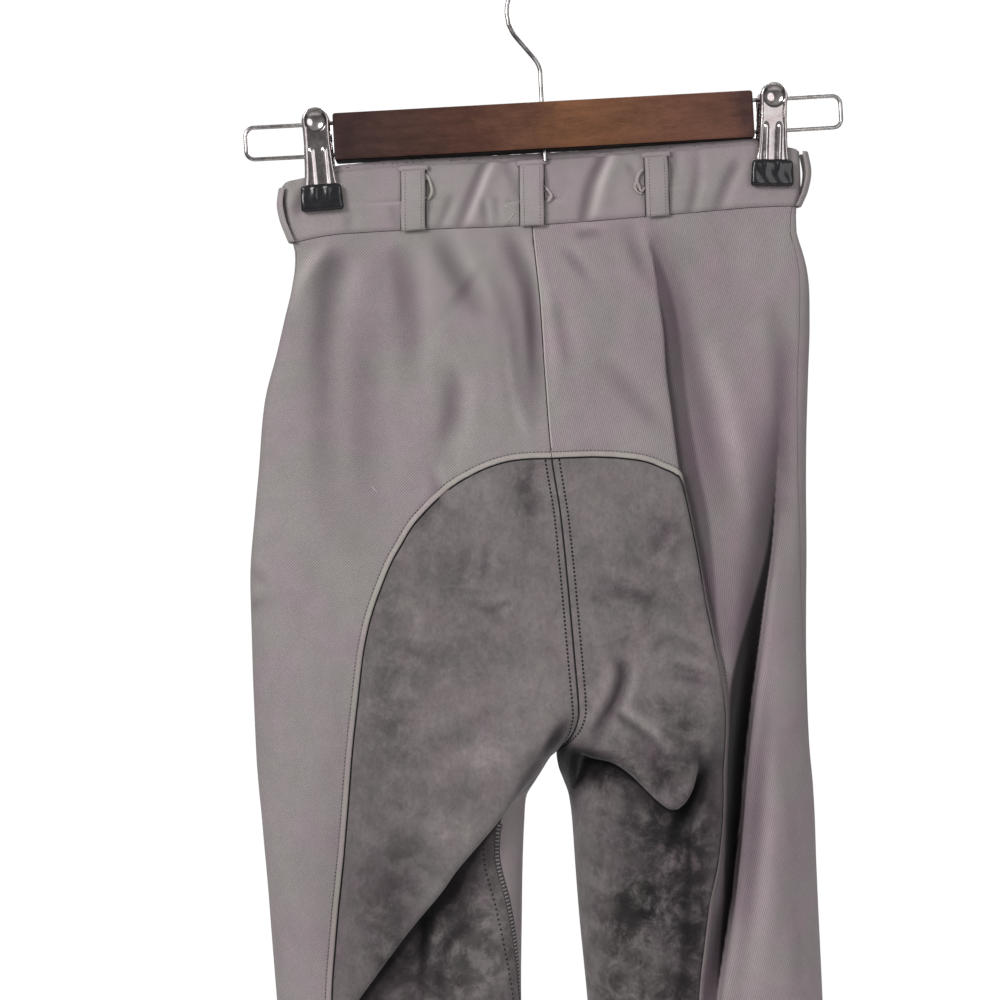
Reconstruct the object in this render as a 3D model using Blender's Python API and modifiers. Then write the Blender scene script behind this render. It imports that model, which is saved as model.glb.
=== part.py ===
"""Riding breeches with a full suede seat, hung by the waistband from a clip hanger.

Millimetres in the tables, metres in the scene. The back of the garment faces -Y, its front +Y,
+X is on the right as the back is seen, +Z is up. The origin is the inside top of the hanger's hook.
"""
import math

import bmesh
import bpy
import numpy as np
from mathutils import Matrix, Vector

MM = 0.001
SEAM = 0.3              # gap between two pieces at a seam, and between a piece and its seat
CLOTH = 1.2             # twill and suede wall
BAND = 2.4              # waistband, folded twill
LOOP = 1.6              # belt loop, folded twill
PIPE_WIDTH = 3.0        # flat piping over the patch's edge
PIPE_THICK = 1.0
PIPE_STAND = {"left": 0.1, "right": 0.45}   # more where it rounds a fold's lip
LOOP_WIDTH = 14.3

CROTCH_Z = -458.0
CROTCH_RISE = 45.0      # height over which the seat seam turns under
HEM_Z = -1057.0
WAIST_Z = -145.5        # nominal height of the seam between band and panels
BAND_TOP_Z = -107.0     # nominal height of the band's top edge
CORNER_Z = -300.0       # where the arch of the patch turns from top to side
PATCH_TOP_Z = -282.0

# Height, then the four edges of the two legs at the wall's middle, as the back is seen.
# Above the crotch the inner edges are not used.
EDGES = (  # z, left outer, left inner, right inner, right outer
    (-105.0, -156.0, -12.2, -11.8, 149.9),
    (-118.0, -155.6, -12.2, -11.8, 149.9),
    (-136.0, -154.2, -12.2, -11.8, 149.4),
    (-146.0, -152.2, -12.2, -11.8, 147.4),
    (-152.0, -151.0, -12.2, -11.8, 146.6),
    (-160.0, -151.4, -12.2, -11.8, 146.5),
    (-170.0, -153.0, -12.2, -11.8, 149.0),
    (-182.0, -155.6, -12.2, -11.8, 151.4),
    (-192.0, -158.6, -12.2, -11.8, 152.1),
    (-215.0, -165.2, -12.2, -11.8, 151.2),
    (-242.0, -173.6, -12.2, -11.8, 148.9),
    (-257.0, -176.2, -12.2, -11.8, 147.6),
    (-280.0, -179.1, -12.2, -11.8, 145.7),
    (-307.0, -183.0, -12.2, -11.8, 143.9),
    (-349.0, -188.2, -12.2, -11.8, 141.8),
    (-382.0, -189.1, -12.2, -11.8, 139.7),
    (-413.0, -189.8, -12.2, -11.8, 138.1),
    (-458.0, -190.2, -12.2, -11.8, 137.0),
    (-461.0, -190.1, -15.8, -12.2, 137.0),
    (-468.0, -189.9, -21.0, -11.5, 137.1),
    (-476.0, -189.6, -26.4, -9.0, 137.4),
    (-486.0, -189.1, -32.6, -6.2, 137.8),
    (-501.0, -188.6, -34.6, -5.0, 137.9),
    (-532.0, -187.5, -37.4, -4.5, 137.3),
    (-554.0, -187.0, -38.9, -4.0, 137.0),
    (-607.0, -185.6, -42.2, -1.8, 136.6),
    (-700.0, -182.5, -44.5, 0.8, 135.0),
    (-780.0, -179.0, -47.5, 3.8, 132.0),
    (-880.0, -175.0, -51.5, 7.6, 128.2),
    (-960.0, -170.5, -54.5, 11.4, 124.2),
    (-1057.0, -165.5, -58.5, 15.6, 120.4),
)

# Half depths of the hollow form and the length over which it rounds off at its edges.
DEPTHS = (  # z, back, front, round outer, round inner
    (-105.0, 2.0, 2.0, 4.0, 40.0),
    (-146.0, 3.0, 3.0, 5.0, 40.0),
    (-170.0, 5.5, 5.0, 12.0, 40.0),
    (-200.0, 9.5, 8.0, 24.0, 40.0),
    (-250.0, 14.5, 11.0, 38.0, 40.0),
    (-300.0, 18.5, 13.5, 46.0, 40.0),
    (-350.0, 22.5, 15.5, 48.0, 40.0),
    (-400.0, 26.5, 17.5, 50.0, 34.0),
    (-458.0, 30.0, 20.0, 50.0, 24.0),
    (-520.0, 31.0, 21.5, 46.0, 22.0),
    (-600.0, 30.0, 22.0, 42.0, 24.0),
    (-700.0, 27.0, 21.5, 38.0, 26.0),
    (-780.0, 25.0, 21.0, 36.0, 28.0),
    (-900.0, 20.0, 18.0, 32.0, 26.0),
    (-1057.0, 15.5, 15.0, 28.0, 24.0),
)

# Half gap between the waist's two layers, nipped at the clips.
NIP = (  # x, half gap
    (-158.0, 2.8),
    (-152.0, 2.3),
    (-148.5, 1.45),
    (-119.0, 1.45),
    (-90.0, 3.4),
    (-45.0, 5.0),
    (45.0, 5.0),
    (90.0, 3.4),
    (119.0, 1.45),
    (148.5, 1.45),
    (152.0, 1.6),
)
BOW = 8.0               # how far the slack waist bows to the front between the clips
BOW_REACH = 118.0

BAND_EDGES = (  # x, top edge, lower edge
    (-158.0, -115.5, -150.8),
    (-154.0, -113.3, -149.9),
    (-144.0, -111.3, -148.2),
    (-135.0, -110.0, -146.8),
    (-123.0, -108.7, -145.9),
    (-87.0, -107.0, -145.5),
    (-17.0, -107.0, -146.2),
    (84.0, -106.5, -144.5),
    (110.0, -106.0, -143.8),
    (123.0, -105.9, -143.6),
    (143.0, -108.6, -144.0),
    (152.0, -111.0, -145.2),
)

SEAMS = (  # z, centre back, centre front
    (-105.0, -10.0, 2.0),
    (-146.0, -9.8, 1.0),
    (-196.0, -7.5, -0.8),
    (-261.0, -7.2, -3.2),
    (-282.0, -6.6, -4.0),
    (-321.0, -3.0, -5.4),
    (-367.0, -1.0, -7.2),
    (-405.0, 0.2, -8.6),
    (-434.0, 1.0, -9.7),
    (-444.0, -1.5, -10.1),
    (-451.0, -6.0, -11.3),
    (-458.0, -12.0, -12.0),
)

# Side seams on the back, as a length along the cloth from the outer edge, and inseams likewise
# from the inner edge.
SIDE_SEAMS = (  # z, left, right
    (-146.0, 1.0, 3.0),
    (-170.0, 1.0, 5.0),
    (-200.0, 2.0, 9.5),
    (-265.0, 3.0, 12.0),
    (-349.0, 3.0, 12.0),
    (-420.0, 3.0, 8.0),
    (-520.0, 3.0, 5.0),
    (-1057.0, 3.0, 4.0),
)
INSEAMS = (  # z, left, right
    (-458.0, 0.3, 0.3),
    (-486.0, 0.6, 0.3),
    (-493.0, 6.0, 0.3),
    (-499.0, 14.0, 0.3),
    (-505.0, 20.0, 0.3),
    (-512.0, 22.0, 0.3),
    (-546.0, 15.0, 0.3),
    (-607.0, 5.0, 0.3),
    (-660.0, 1.0, 0.3),
    (-1057.0, 0.3, 0.3),
)

# The patch's edge from the centre seam over the arch and down the leg.
ARCH_LEFT = (  # x, z
    (-6.9, -284.4), (-20.0, -284.0), (-32.0, -284.8), (-43.0, -287.4), (-54.6, -291.9),
    (-67.3, -298.7), (-79.6, -308.4), (-90.3, -319.3), (-98.6, -331.5), (-106.6, -345.0),
    (-117.0, -369.0), (-123.2, -391.0), (-128.0, -419.0), (-133.5, -454.0), (-139.0, -496.0), (-147.0, -549.0),
    (-152.6, -592.0), (-156.5, -645.0), (-157.5, -720.0), (-154.5, -800.0), (-149.0, -900.0),
    (-139.0, -1057.0),
)
ARCH_RIGHT = (  # x, z
    (-6.9, -284.4), (5.3, -284.6), (19.0, -285.0), (33.3, -286.4), (46.0, -288.7), (54.5, -291.5),
    (61.9, -295.4), (65.8, -299.6), (68.0, -305.2), (70.5, -322.0), (73.7, -349.0),
    (76.4, -373.5), (80.5, -397.0), (84.2, -411.5), (86.0, -436.5), (83.3, -469.0),
    (80.8, -499.0), (75.8, -527.5), (69.2, -555.5), (61.7, -603.5), (59.5, -650.0),
    (62.0, -720.0), (67.5, -800.0), (77.0, -900.0), (93.0, -1057.0),
)

# Folds that lap over a hollow. The hollow is on the left or the right of the path's travel, its
# depth is a share of the form's depth, 'lean' carries the lip out over it and the root back.
LAPS = (
    {"name": "left seat over inner thigh", "leg": "left", "hollow": "left", "snap": True,
     "depth": 0.56, "half": 8.0, "lean": 4.6,
     "path": (  # x, z, share, reach of the hollow
         (-25.5, -470.0, 0.0, 120.0), (-33.5, -479.8, 0.5, 120.0), (-41.3, -486.6, 0.85, 120.0),
         (-58.5, -504.0, 1.0, 120.0), (-75.1, -521.4, 1.0, 110.0), (-85.1, -534.0, 1.0, 100.0),
         (-107.6, -558.5, 1.0, 90.0), (-133.0, -590.5, 0.85, 80.0), (-143.0, -606.0, 0.4, 70.0),
         (-152.0, -622.0, 0.0, 60.0))},
    {"name": "right seat over inner thigh", "leg": "right", "hollow": "right", "snap": False,
     "depth": 0.55, "half": 8.0, "lean": 1.6,
     "path": (
         (-3.0, -457.8, 0.0, 14.0), (1.0, -458.6, 0.5, 18.0), (6.0, -460.2, 1.0, 24.0),
         (19.0, -464.0, 1.0, 28.0), (30.0, -472.2, 1.0, 26.0), (39.3, -482.5, 1.0, 22.0),
         (46.0, -489.3, 1.0, 18.0), (53.0, -493.4, 1.0, 12.0), (59.5, -489.0, 1.0, 8.0),
         (64.4, -481.3, 0.9, 6.0), (67.2, -472.0, 0.6, 6.0), (66.4, -461.0, 0.0, 6.0))},
    {"name": "right seat over hip", "leg": "right", "hollow": "left", "snap": True,
     "depth": 0.34, "half": 5.5, "lean": 1.4,
     "path": (
         (57.0, -152.0, 0.0, 26.0), (59.8, -170.0, 0.25, 26.0), (62.0, -190.0, 0.5, 26.0),
         (63.6, -215.0, 0.8, 26.0), (64.6, -240.0, 1.0, 26.0), (67.0, -268.7, 1.0, 26.0),
         (69.2, -299.0, 1.0, 26.0), (71.9, -322.0, 1.0, 24.0), (74.8, -349.0, 1.0, 20.0), (77.7, -373.5, 0.8, 18.0),
         (81.7, -397.0, 0.5, 14.0), (86.0, -414.0, 0.0, 10.0))},
    {"name": "right side flap", "leg": "right", "hollow": "right", "snap": True,
     "depth": 0.74, "half": 6.5, "lean": 3.6,
     "path": (
         (130.0, -262.0, 0.0, 12.0), (126.0, -300.0, 0.25, 12.0), (120.4, -342.0, 0.5, 11.0),
         (113.0, -376.5, 0.8, 10.0), (105.3, -415.0, 1.0, 9.5), (101.2, -436.5, 1.0, 9.0),
         (96.0, -469.0, 1.0, 9.0), (90.7, -507.0, 1.0, 8.0), (87.0, -531.0, 0.95, 7.0),
         (82.4, -556.5, 0.8, 7.0), (74.0, -600.0, 0.5, 8.0), (70.5, -622.0, 0.2, 8.0),
         (69.0, -640.0, 0.0, 8.0))},
)

# How far the right patch's rows dip to run along the seat's lap.
ROW_DIP = (  # x, dip
    (-12.0, 0.0), (-4.0, 0.0), (3.8, -1.8), (19.0, -6.6), (30.0, -14.8), (39.3, -25.0),
    (46.0, -31.8), (53.0, -35.6), (59.5, -31.6), (64.4, -23.8), (67.3, -14.8), (72.0, -6.0),
    (77.5, 0.0),
)

# Soft creases on the back: depth in mm, positive is a trough, negative a ridge.
CREASES = (  # depth, half width, path of x, z, share
    (3.4, 7.0, ((-24.0, -152.0, 0.0), (-21.0, -175.0, 0.8), (-16.0, -205.0, 1.0),
                (-12.5, -240.0, 0.8), (-11.5, -276.0, 0.0))),
    (3.0, 9.0, ((-122.0, -156.0, 0.0), (-129.0, -182.0, 1.0), (-134.0, -215.0, 1.0),
                (-138.0, -260.0, 0.5), (-140.0, -330.0, 0.0))),
    (2.4, 9.0, ((-98.0, -156.0, 0.0), (-91.0, -185.0, 1.0), (-84.0, -230.0, 0.8),
                (-80.0, -280.0, 0.0))),
    (2.8, 8.0, ((-66.0, -156.0, 0.0), (-55.0, -185.0, 1.0), (-44.0, -212.0, 0.8),
                (-38.0, -240.0, 0.0))),
    (2.6, 8.0, ((-66.0, -225.0, 0.0), (-62.0, -255.0, 1.0), (-66.0, -285.0, 0.6),
                (-72.0, -310.0, 0.0))),
    (4.2, 5.5, ((38.0, -401.0, 0.0), (38.5, -412.0, 1.0), (28.1, -433.5, 1.0),
                (20.3, -448.0, 0.6), (17.0, -456.0, 0.0))),
    (2.6, 4.5, ((34.0, -430.0, 0.0), (44.0, -437.0, 1.0), (52.5, -442.0, 1.0),
                (59.0, -450.0, 0.0))),
)

# Soft creases on the front, of the same sort.
FRONT_CREASES = (
    (3.0, 10.0, ((-118.0, -156.0, 0.0), (-126.0, -200.0, 1.0), (-132.0, -280.0, 0.7),
                 (-134.0, -360.0, 0.0))),
    (2.6, 9.0, ((110.0, -156.0, 0.0), (112.0, -210.0, 1.0), (108.0, -300.0, 0.6),
                (104.0, -380.0, 0.0))),
    (4.0, 9.0, ((-20.0, -440.0, 0.0), (-44.0, -452.0, 1.0), (-78.0, -476.0, 0.8),
                (-118.0, -520.0, 0.0))),
    (3.6, 9.0, ((0.0, -440.0, 0.0), (24.0, -450.0, 1.0), (56.0, -472.0, 0.8),
                (92.0, -512.0, 0.0))),
    (3.0, 12.0, ((-108.0, -640.0, 0.0), (-116.0, -700.0, 1.0), (-112.0, -770.0, 0.0))),
    (3.0, 12.0, ((60.0, -620.0, 0.0), (70.0, -690.0, 1.0), (66.0, -780.0, 0.0))),
)

# Rows of the cloth, in bands of even steps.
ROW_BANDS = (  # from, to, rows
    (WAIST_Z, CORNER_Z, 8),
    (CORNER_Z, -440.0, 8),
    (-440.0, CROTCH_Z, 3),
    (CROTCH_Z, -510.0, 9),
    (-510.0, -620.0, 8),
    (-620.0, HEM_Z, 5),
)
PATCH_COLUMNS = {"left": 12, "right": 14}
SIDE_COLUMNS = {"left": 4, "right": 7}
FRONT_COLUMNS = 8
BAND_ROWS = 3

# Hanger.
BAR = (249.0, 13.0, 28.2)            # length, depth, height
BAR_TOP_Z = -74.7
WIRE_R = 1.3
LOOP_WIRE_R = 1.2
HOOK_RX = 17.9
HOOK_RZ = 21.8
STEM_END_Z = -109.0
END_LOOP_X = 177.2
END_LOOP_Z = (-79.5, -98.4)
SOCKET = 8.0
CLIPS = (  # name, x at the top, x at the jaw
    ("left", -134.5, -133.2),
    ("right", 136.9, 133.2),
)
CLIP_TOP_Z = -71.8
CLIP_SPRING_Z = -88.95
CLIP_SPRING_R = 7.95
CLIP_SPRING_LENGTH = 12.0
CAP = (25.2, 5.0, 15.2)              # width, thickness, height
CAP_TOP_Z = -116.9
PLATE = 1.0
PLATE_SHAPE = (  # z, half width, distance of its middle from the clip's plane
    (-71.8, 0.0, 11.0),
    (-72.4, 2.9, 10.95),
    (-73.9, 5.4, 10.75),
    (-76.3, 7.3, 10.45),
    (-79.6, 8.2, 10.05),
    (-85.5, 7.9, 9.25),
    (-92.0, 7.9, 8.75),
    (-97.5, 8.2, 8.3),
    (-105.0, 8.6, 7.2),
    (-111.0, 9.1, 6.3),
    (-116.4, 9.8, 5.7),
)


# ---------------------------------------------------------------------------------- curves

def smooth(t):
    """A soft step from 0 to 1."""
    t = np.clip(t, 0.0, 1.0)
    return t * t * (3.0 - 2.0 * t)


def column(table, value, key=0):
    """A smooth curve through one column of a table against its key, without overshoot."""
    rows = sorted((row[key], row[value]) for row in table)
    k = np.array([row[0] for row in rows])
    v = np.array([row[1] for row in rows])
    step = np.diff(k)
    slope = np.diff(v) / step
    tangent = np.zeros_like(v)
    tangent[0] = slope[0]
    tangent[-1] = slope[-1]
    for i in range(1, len(k) - 1):
        if slope[i - 1] * slope[i] > 0.0:
            a = 2.0 * step[i] + step[i - 1]
            b = step[i] + 2.0 * step[i - 1]
            tangent[i] = (a + b) / (a / slope[i - 1] + b / slope[i])

    def at(x):
        x = np.clip(np.asarray(x, dtype=float), k[0], k[-1])
        i = np.clip(np.searchsorted(k, x, side="right") - 1, 0, len(k) - 2)
        t = (x - k[i]) / step[i]
        start = (1.0 + 2.0 * t) * (1.0 - t) ** 2 * v[i] + t * (1.0 - t) ** 2 * step[i] * tangent[i]
        end = t * t * (3.0 - 2.0 * t) * v[i + 1] + t * t * (t - 1.0) * step[i] * tangent[i + 1]
        return start + end

    return at


def soft_path(rows, steps=5):
    """A Catmull-Rom curve through a path's rows, all columns alike."""
    p = np.array(rows, dtype=float)
    p = np.vstack([2.0 * p[0] - p[1], p, 2.0 * p[-1] - p[-2]])
    out = []
    for i in range(1, len(p) - 2):
        for t in np.arange(steps) / steps:
            out.append(0.5 * (2.0 * p[i] + (p[i + 1] - p[i - 1]) * t
                              + (2.0 * p[i - 1] - 5.0 * p[i] + 4.0 * p[i + 1] - p[i + 2]) * t ** 2
                              + (3.0 * p[i] - p[i - 1] - 3.0 * p[i + 1] + p[i + 2]) * t ** 3))
    out.append(p[-2])
    return np.array(out)


def nearest(path, x, z):
    """Signed distance from a path (positive on the left of its travel), the unit vector to its
    left, and its other columns at the nearest point."""
    best = np.full(x.shape, np.inf)
    signed = np.zeros(x.shape)
    left = np.zeros(x.shape + (2,))
    extra = np.zeros(x.shape + (path.shape[1] - 2,))
    for a, b in zip(path[:-1], path[1:]):
        dx, dz = b[0] - a[0], b[1] - a[1]
        length = math.hypot(dx, dz)
        if length < 1e-9:
            continue
        t = np.clip(((x - a[0]) * dx + (z - a[1]) * dz) / length ** 2, 0.0, 1.0)
        rx = x - (a[0] + dx * t)
        rz = z - (a[1] + dz * t)
        gap = np.hypot(rx, rz)
        side = np.where(dx * rz - dz * rx >= 0.0, 1.0, -1.0)
        closer = gap < best
        best = np.where(closer, gap, best)
        signed = np.where(closer, gap * side, signed)
        left = np.where(closer[..., None], np.array([-dz / length, dx / length]), left)
        here = a[2:] + (b[2:] - a[2:]) * t[..., None]
        extra = np.where(closer[..., None], here, extra)
    return signed, left, extra


LEFT_OUTER = column(EDGES, 1)
LEFT_INNER = column(EDGES, 2)
RIGHT_INNER = column(EDGES, 3)
RIGHT_OUTER = column(EDGES, 4)
BACK_DEPTH = column(DEPTHS, 1)
FRONT_DEPTH = column(DEPTHS, 2)
ROUND_OUTER = column(DEPTHS, 3)
ROUND_INNER = column(DEPTHS, 4)
CENTRE_BACK = column(SEAMS, 1)
CENTRE_FRONT = column(SEAMS, 2)
HALF_GAP = column(NIP, 1)
BAND_TOP = column(BAND_EDGES, 1)
BAND_FOOT = column(BAND_EDGES, 2)
LAP_PATHS = [soft_path(lap["path"]) for lap in LAPS]
CREASE_PATHS = [soft_path(row[2]) for row in CREASES]
FRONT_CREASE_PATHS = [soft_path(row[2]) for row in FRONT_CREASES]


def lip_reach(half, lean):
    """How far the lip of a lap stands past the path before it is set back."""
    s = np.linspace(-half, 0.0, 60)
    return float(np.max(s + lap_lean(s, half, lean)))


def lap_lean(s, half, lean):
    """Shift towards the hollow: forwards at the lip, backwards at the root."""
    spread = 0.8 * half
    return lean * (np.exp(-((s + 0.5 * half) / spread) ** 2)
                   - np.exp(-((s - 0.5 * half) / spread) ** 2))


# -------------------------------------------------------------------------------- the form

class Face:
    """The back or the front of one leg, from the centre or inner edge (0) to the outer edge (1)."""

    HEIGHTS = np.arange(-1058.0, -103.0, 2.0)
    SAMPLES = 240

    def __init__(self, leg, face):
        self.leg = leg
        self.face = face
        self.side = -1.0 if leg == "left" else 1.0
        self.sign = -1.0 if face == "back" else 1.0
        self.turn = self.side * -self.sign
        self.tabulate()

    def start(self, z):
        centre = CENTRE_BACK if self.face == "back" else CENTRE_FRONT
        inner = LEFT_INNER if self.leg == "left" else RIGHT_INNER
        apart = SEAM / 2.0 * (1.0 + 1.4 * smooth((-438.0 - z) / 14.0))
        return np.where(z >= CROTCH_Z, centre(z) + self.side * apart, inner(z))

    def end(self, z):
        return LEFT_OUTER(z) if self.leg == "left" else RIGHT_OUTER(z)

    def folded(self, x, y, z, fade):
        """Lays the laps and creases into the form."""
        dx = np.zeros(x.shape)
        dz = np.zeros(x.shape)
        if self.face == "back":
            for lap, path in zip(LAPS, LAP_PATHS):
                if lap["leg"] != self.leg:
                    continue
                s, left, extra = nearest(path, x, z)
                to_hollow = 1.0 if lap["hollow"] == "left" else -1.0
                s = s * to_hollow + lip_reach(lap["half"], lap["lean"])
                rise = smooth((s + lap["half"]) / (2.0 * lap["half"]))
                back = np.exp(-(np.maximum(0.0, s - lap["half"]) / extra[..., 1]) ** 2)
                share = extra[..., 0]
                y = y * (1.0 - lap["depth"] * share * rise * back)
                push = to_hollow * lap_lean(s, lap["half"], lap["lean"]) * share * fade
                dx = dx + push * left[..., 0]
                dz = dz + push * left[..., 1]
            rows, paths = CREASES, CREASE_PATHS
        else:
            rows, paths = FRONT_CREASES, FRONT_CREASE_PATHS
        for (depth, half, _), path in zip(rows, paths):
            s, left, extra = nearest(path, x, z)
            y = y - depth * extra[..., 0] * np.exp(-(s / half) ** 2) * fade
        return x + dx, y, z + dz

    def point(self, turn, z):
        """A point of the wall's middle; turn runs from 0 at the inner edge to 1 at the outer."""
        turn, z = np.broadcast_arrays(np.asarray(turn, float), np.asarray(z, float))
        x0, x1 = self.start(z), self.end(z)
        share = (1.0 - np.cos(np.pi * turn)) / 2.0
        x = x0 + (x1 - x0) * share
        width = np.abs(x1 - x0)
        to_outer = np.maximum(0.0, 1.0 - width * (1.0 - share) / ROUND_OUTER(z))
        to_inner = np.maximum(0.0, 1.0 - width * share / ROUND_INNER(z))
        open_seam = np.clip((CROTCH_Z + CROTCH_RISE - z) / CROTCH_RISE, 0.0, 1.0)
        fade = np.sqrt(np.maximum(0.0, 1.0 - to_outer ** 2))
        fade = fade * np.sqrt(np.maximum(0.0, 1.0 - (open_seam * to_inner) ** 2))
        nipped = 1.0 - smooth((-138.0 - z) / 62.0)
        depth = BACK_DEPTH(z) if self.face == "back" else FRONT_DEPTH(z)
        depth = depth * (1.0 - nipped) + HALF_GAP(x) * nipped
        bow = BOW * (1.0 - smooth((-150.0 - z) / 130.0))
        middle = bow * np.maximum(0.0, 1.0 - (x / BOW_REACH) ** 2)
        px, py, pz = self.folded(x, depth * fade, z, fade)
        drop = (BAND_FOOT(x) - WAIST_Z) * (1.0 - smooth((WAIST_Z - z) / 45.0))
        drop = np.where(z <= WAIST_Z, drop, 0.0)
        return np.stack([px, middle + self.sign * py, pz + drop], axis=-1)

    def normal(self, turn, z):
        """Outward unit normal of the wall."""
        step = 0.004
        z = np.where(z <= WAIST_Z, np.minimum(z, WAIST_Z - 0.6), np.maximum(z, WAIST_Z + 0.6))
        a = self.point(np.clip(turn + step, 0.0, 1.0), z)
        b = self.point(np.clip(turn - step, 0.0, 1.0), z)
        up = np.where(np.abs(z - CROTCH_Z) < 0.6, 0.0, 0.5)
        c = self.point(turn, z + up)
        d = self.point(turn, z - np.where(up == 0.0, 0.5, 0.5))
        n = np.cross(a - b, c - d) * self.turn
        return n / np.maximum(1e-9, np.linalg.norm(n, axis=-1, keepdims=True))

    def tabulate(self):
        """Length along the cloth at each height, for even columns."""
        turn = np.linspace(0.0, 1.0, self.SAMPLES + 1)
        z = self.HEIGHTS[:, None]
        p = self.point(turn[None, :], z)
        length = np.linalg.norm(np.diff(p, axis=1), axis=-1)
        if self.face == "back":
            x = (p[:, 1:, 0] + p[:, :-1, 0]) / 2.0
            crowd = np.ones(x.shape)
            for lap, path in zip(LAPS, LAP_PATHS):
                if lap["leg"] == self.leg and lap["snap"]:
                    s, _, extra = nearest(path, x, np.broadcast_to(z, x.shape))
                    crowd += 1.6 * extra[..., 0] * np.exp(-(s / 13.0) ** 2)
        else:
            crowd = 1.0
        self.true_length = length.sum(axis=1)
        run = np.concatenate([np.zeros((len(z), 1)), np.cumsum(length * crowd, axis=1)], axis=1)
        self.run = run / run[:, -1:]
        real = np.concatenate([np.zeros((len(z), 1)), np.cumsum(length, axis=1)], axis=1)
        self.real = real
        even = np.linspace(0.0, 1.0, self.SAMPLES + 1)
        self.even = np.array([np.interp(even, row, turn) for row in self.run])

    def look_up(self, table, share, z):
        share, z = np.broadcast_arrays(np.asarray(share, float), np.asarray(z, float))
        row = np.clip((z - self.HEIGHTS[0]) / 2.0, 0.0, len(self.HEIGHTS) - 1.001)
        col = np.clip(share, 0.0, 1.0) * self.SAMPLES
        i = row.astype(int)
        j = np.minimum(col.astype(int), self.SAMPLES - 1)
        fi, fj = row - i, col - j
        low = table[i, j] * (1.0 - fj) + table[i, j + 1] * fj
        high = table[i + 1, j] * (1.0 - fj) + table[i + 1, j + 1] * fj
        return low * (1.0 - fi) + high * fi

    def turn_of(self, even, z):
        """The turn at an even share of the row."""
        return self.look_up(self.even, even, z)

    def even_of_turn(self, turn, z):
        return self.look_up(self.run, turn, z)

    def plain_x(self, turn, z):
        """Where the form stands before the laps move it."""
        x0, x1 = self.start(z), self.end(z)
        return x0 + (x1 - x0) * (1.0 - np.cos(np.pi * turn)) / 2.0

    def snapped(self, even, z):
        """Moves the nearest columns of a row onto the lip and the root of each lap it crosses."""
        count = len(even)
        index = np.arange(count)
        fine = np.linspace(0.0, count - 1.0, 320)
        e = np.interp(fine, index, even)
        h = np.interp(fine, index, z)
        x = self.plain_x(self.turn_of(e, h), h)
        anchors = []
        for lap, path in zip(LAPS, LAP_PATHS):
            if lap["leg"] != self.leg or not lap["snap"]:
                continue
            s, _, extra = nearest(path, x, h)
            s = s * (1.0 if lap["hollow"] == "left" else -1.0) + lip_reach(lap["half"], lap["lean"])
            marks = []
            for level in (-0.55 * lap["half"], 0.6 * lap["half"]):
                cross = [k for k in np.nonzero(np.diff(np.sign(s - level)))[0] if extra[k, 0] > 0.25]
                if cross:
                    k = cross[0]
                    marks.append(e[k] + (e[k + 1] - e[k]) * (level - s[k]) / (s[k + 1] - s[k]))
            marks.sort()
            if len(marks) < 2 or marks[0] < even[0] + 0.004 or marks[1] > even[-1] - 0.004:
                continue
            at = int(round(float(np.interp(marks[0], even, index))))
            at = min(max(at, 1), count - 3)
            anchors += [(at, marks[0]), (at + 1, marks[1])]
        anchors = sorted([(0, even[0])] + anchors + [(count - 1, even[-1])])
        for (a, u), (b, v) in zip(anchors[:-1], anchors[1:]):
            if b <= a or v <= u:
                return even, z
        new = np.interp(even, [even[k] for k, _ in anchors], [v for _, v in anchors])
        return new, np.interp(new, even, z)

    def turn_of_x(self, x, z):
        x0, x1 = self.start(z), self.end(z)
        share = np.clip((x - x0) / (x1 - x0), 0.0, 1.0)
        return np.arccos(1.0 - 2.0 * share) / np.pi

    def turn_from_edge(self, length, z, edge):
        """The turn at a true length from the inner (0) or outer (1) edge."""
        z = np.asarray(z, float)
        turns = np.linspace(0.0, 1.0, self.SAMPLES + 1)
        out = []
        for value, height in zip(np.broadcast_to(length, z.shape).ravel(), z.ravel()):
            run = self.look_up(self.real, turns, height)
            target = value if edge == 0 else run[-1] - value
            out.append(np.interp(target, run, turns))
        return np.array(out).reshape(z.shape)


FACES = {(leg, face): Face(leg, face) for leg in ("left", "right") for face in ("back", "front")}


def rows_between(bands):
    """Heights of the rows, without repeats."""
    out = []
    for top, bottom, count in bands:
        out.extend(top + (bottom - top) * i / count for i in range(count))
    out.append(bands[-1][1])
    return np.array(out)


Z_ROWS = rows_between(ROW_BANDS)
CORNER_ROW = ROW_BANDS[0][2]


def seam_normal(face, z):
    """Normal of the centre seam's edge, the same for both legs."""
    low = face.point(0.0, np.maximum(z - 0.25, CROTCH_Z))
    high = face.point(0.0, z + 0.25)
    run = high - low
    n = np.stack([np.zeros_like(z), np.abs(run[..., 2]), -face.sign * run[..., 1]], axis=-1)
    n[..., 1] *= face.sign
    n[..., 2] = -np.abs(n[..., 2])
    return n / np.linalg.norm(n, axis=-1, keepdims=True)


def lay(face, turn, z):
    """Points and normals of the wall, with the normals squared up at the seams on the edges."""
    point = face.point(turn, z)
    normal = face.normal(turn, z)
    turn, z = np.broadcast_arrays(np.asarray(turn, float), np.asarray(z, float))
    at_seam = (turn < 1e-6) & (z >= CROTCH_Z)
    if np.any(at_seam):
        normal[at_seam] = seam_normal(face, z[at_seam])
    crotch = (turn < 0.05) & (np.abs(z - CROTCH_Z) < 0.01)
    on_edge = (point[..., 0] - face.start(z)) * face.side < 0.4
    crotch = crotch & on_edge
    normal[crotch] = (0.0, 0.0, -1.0)
    inner = on_edge & (turn < 0.05) & (z < CROTCH_Z - 0.01)
    normal[inner, 1] = 0.0
    normal[inner] /= np.linalg.norm(normal[inner], axis=-1, keepdims=True)
    return point, normal


# ------------------------------------------------------------------------------- making mesh

COLLECTION = "riding_breeches"


def clear_scene():
    for item in list(bpy.data.objects):
        bpy.data.objects.remove(item, do_unlink=True)


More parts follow.
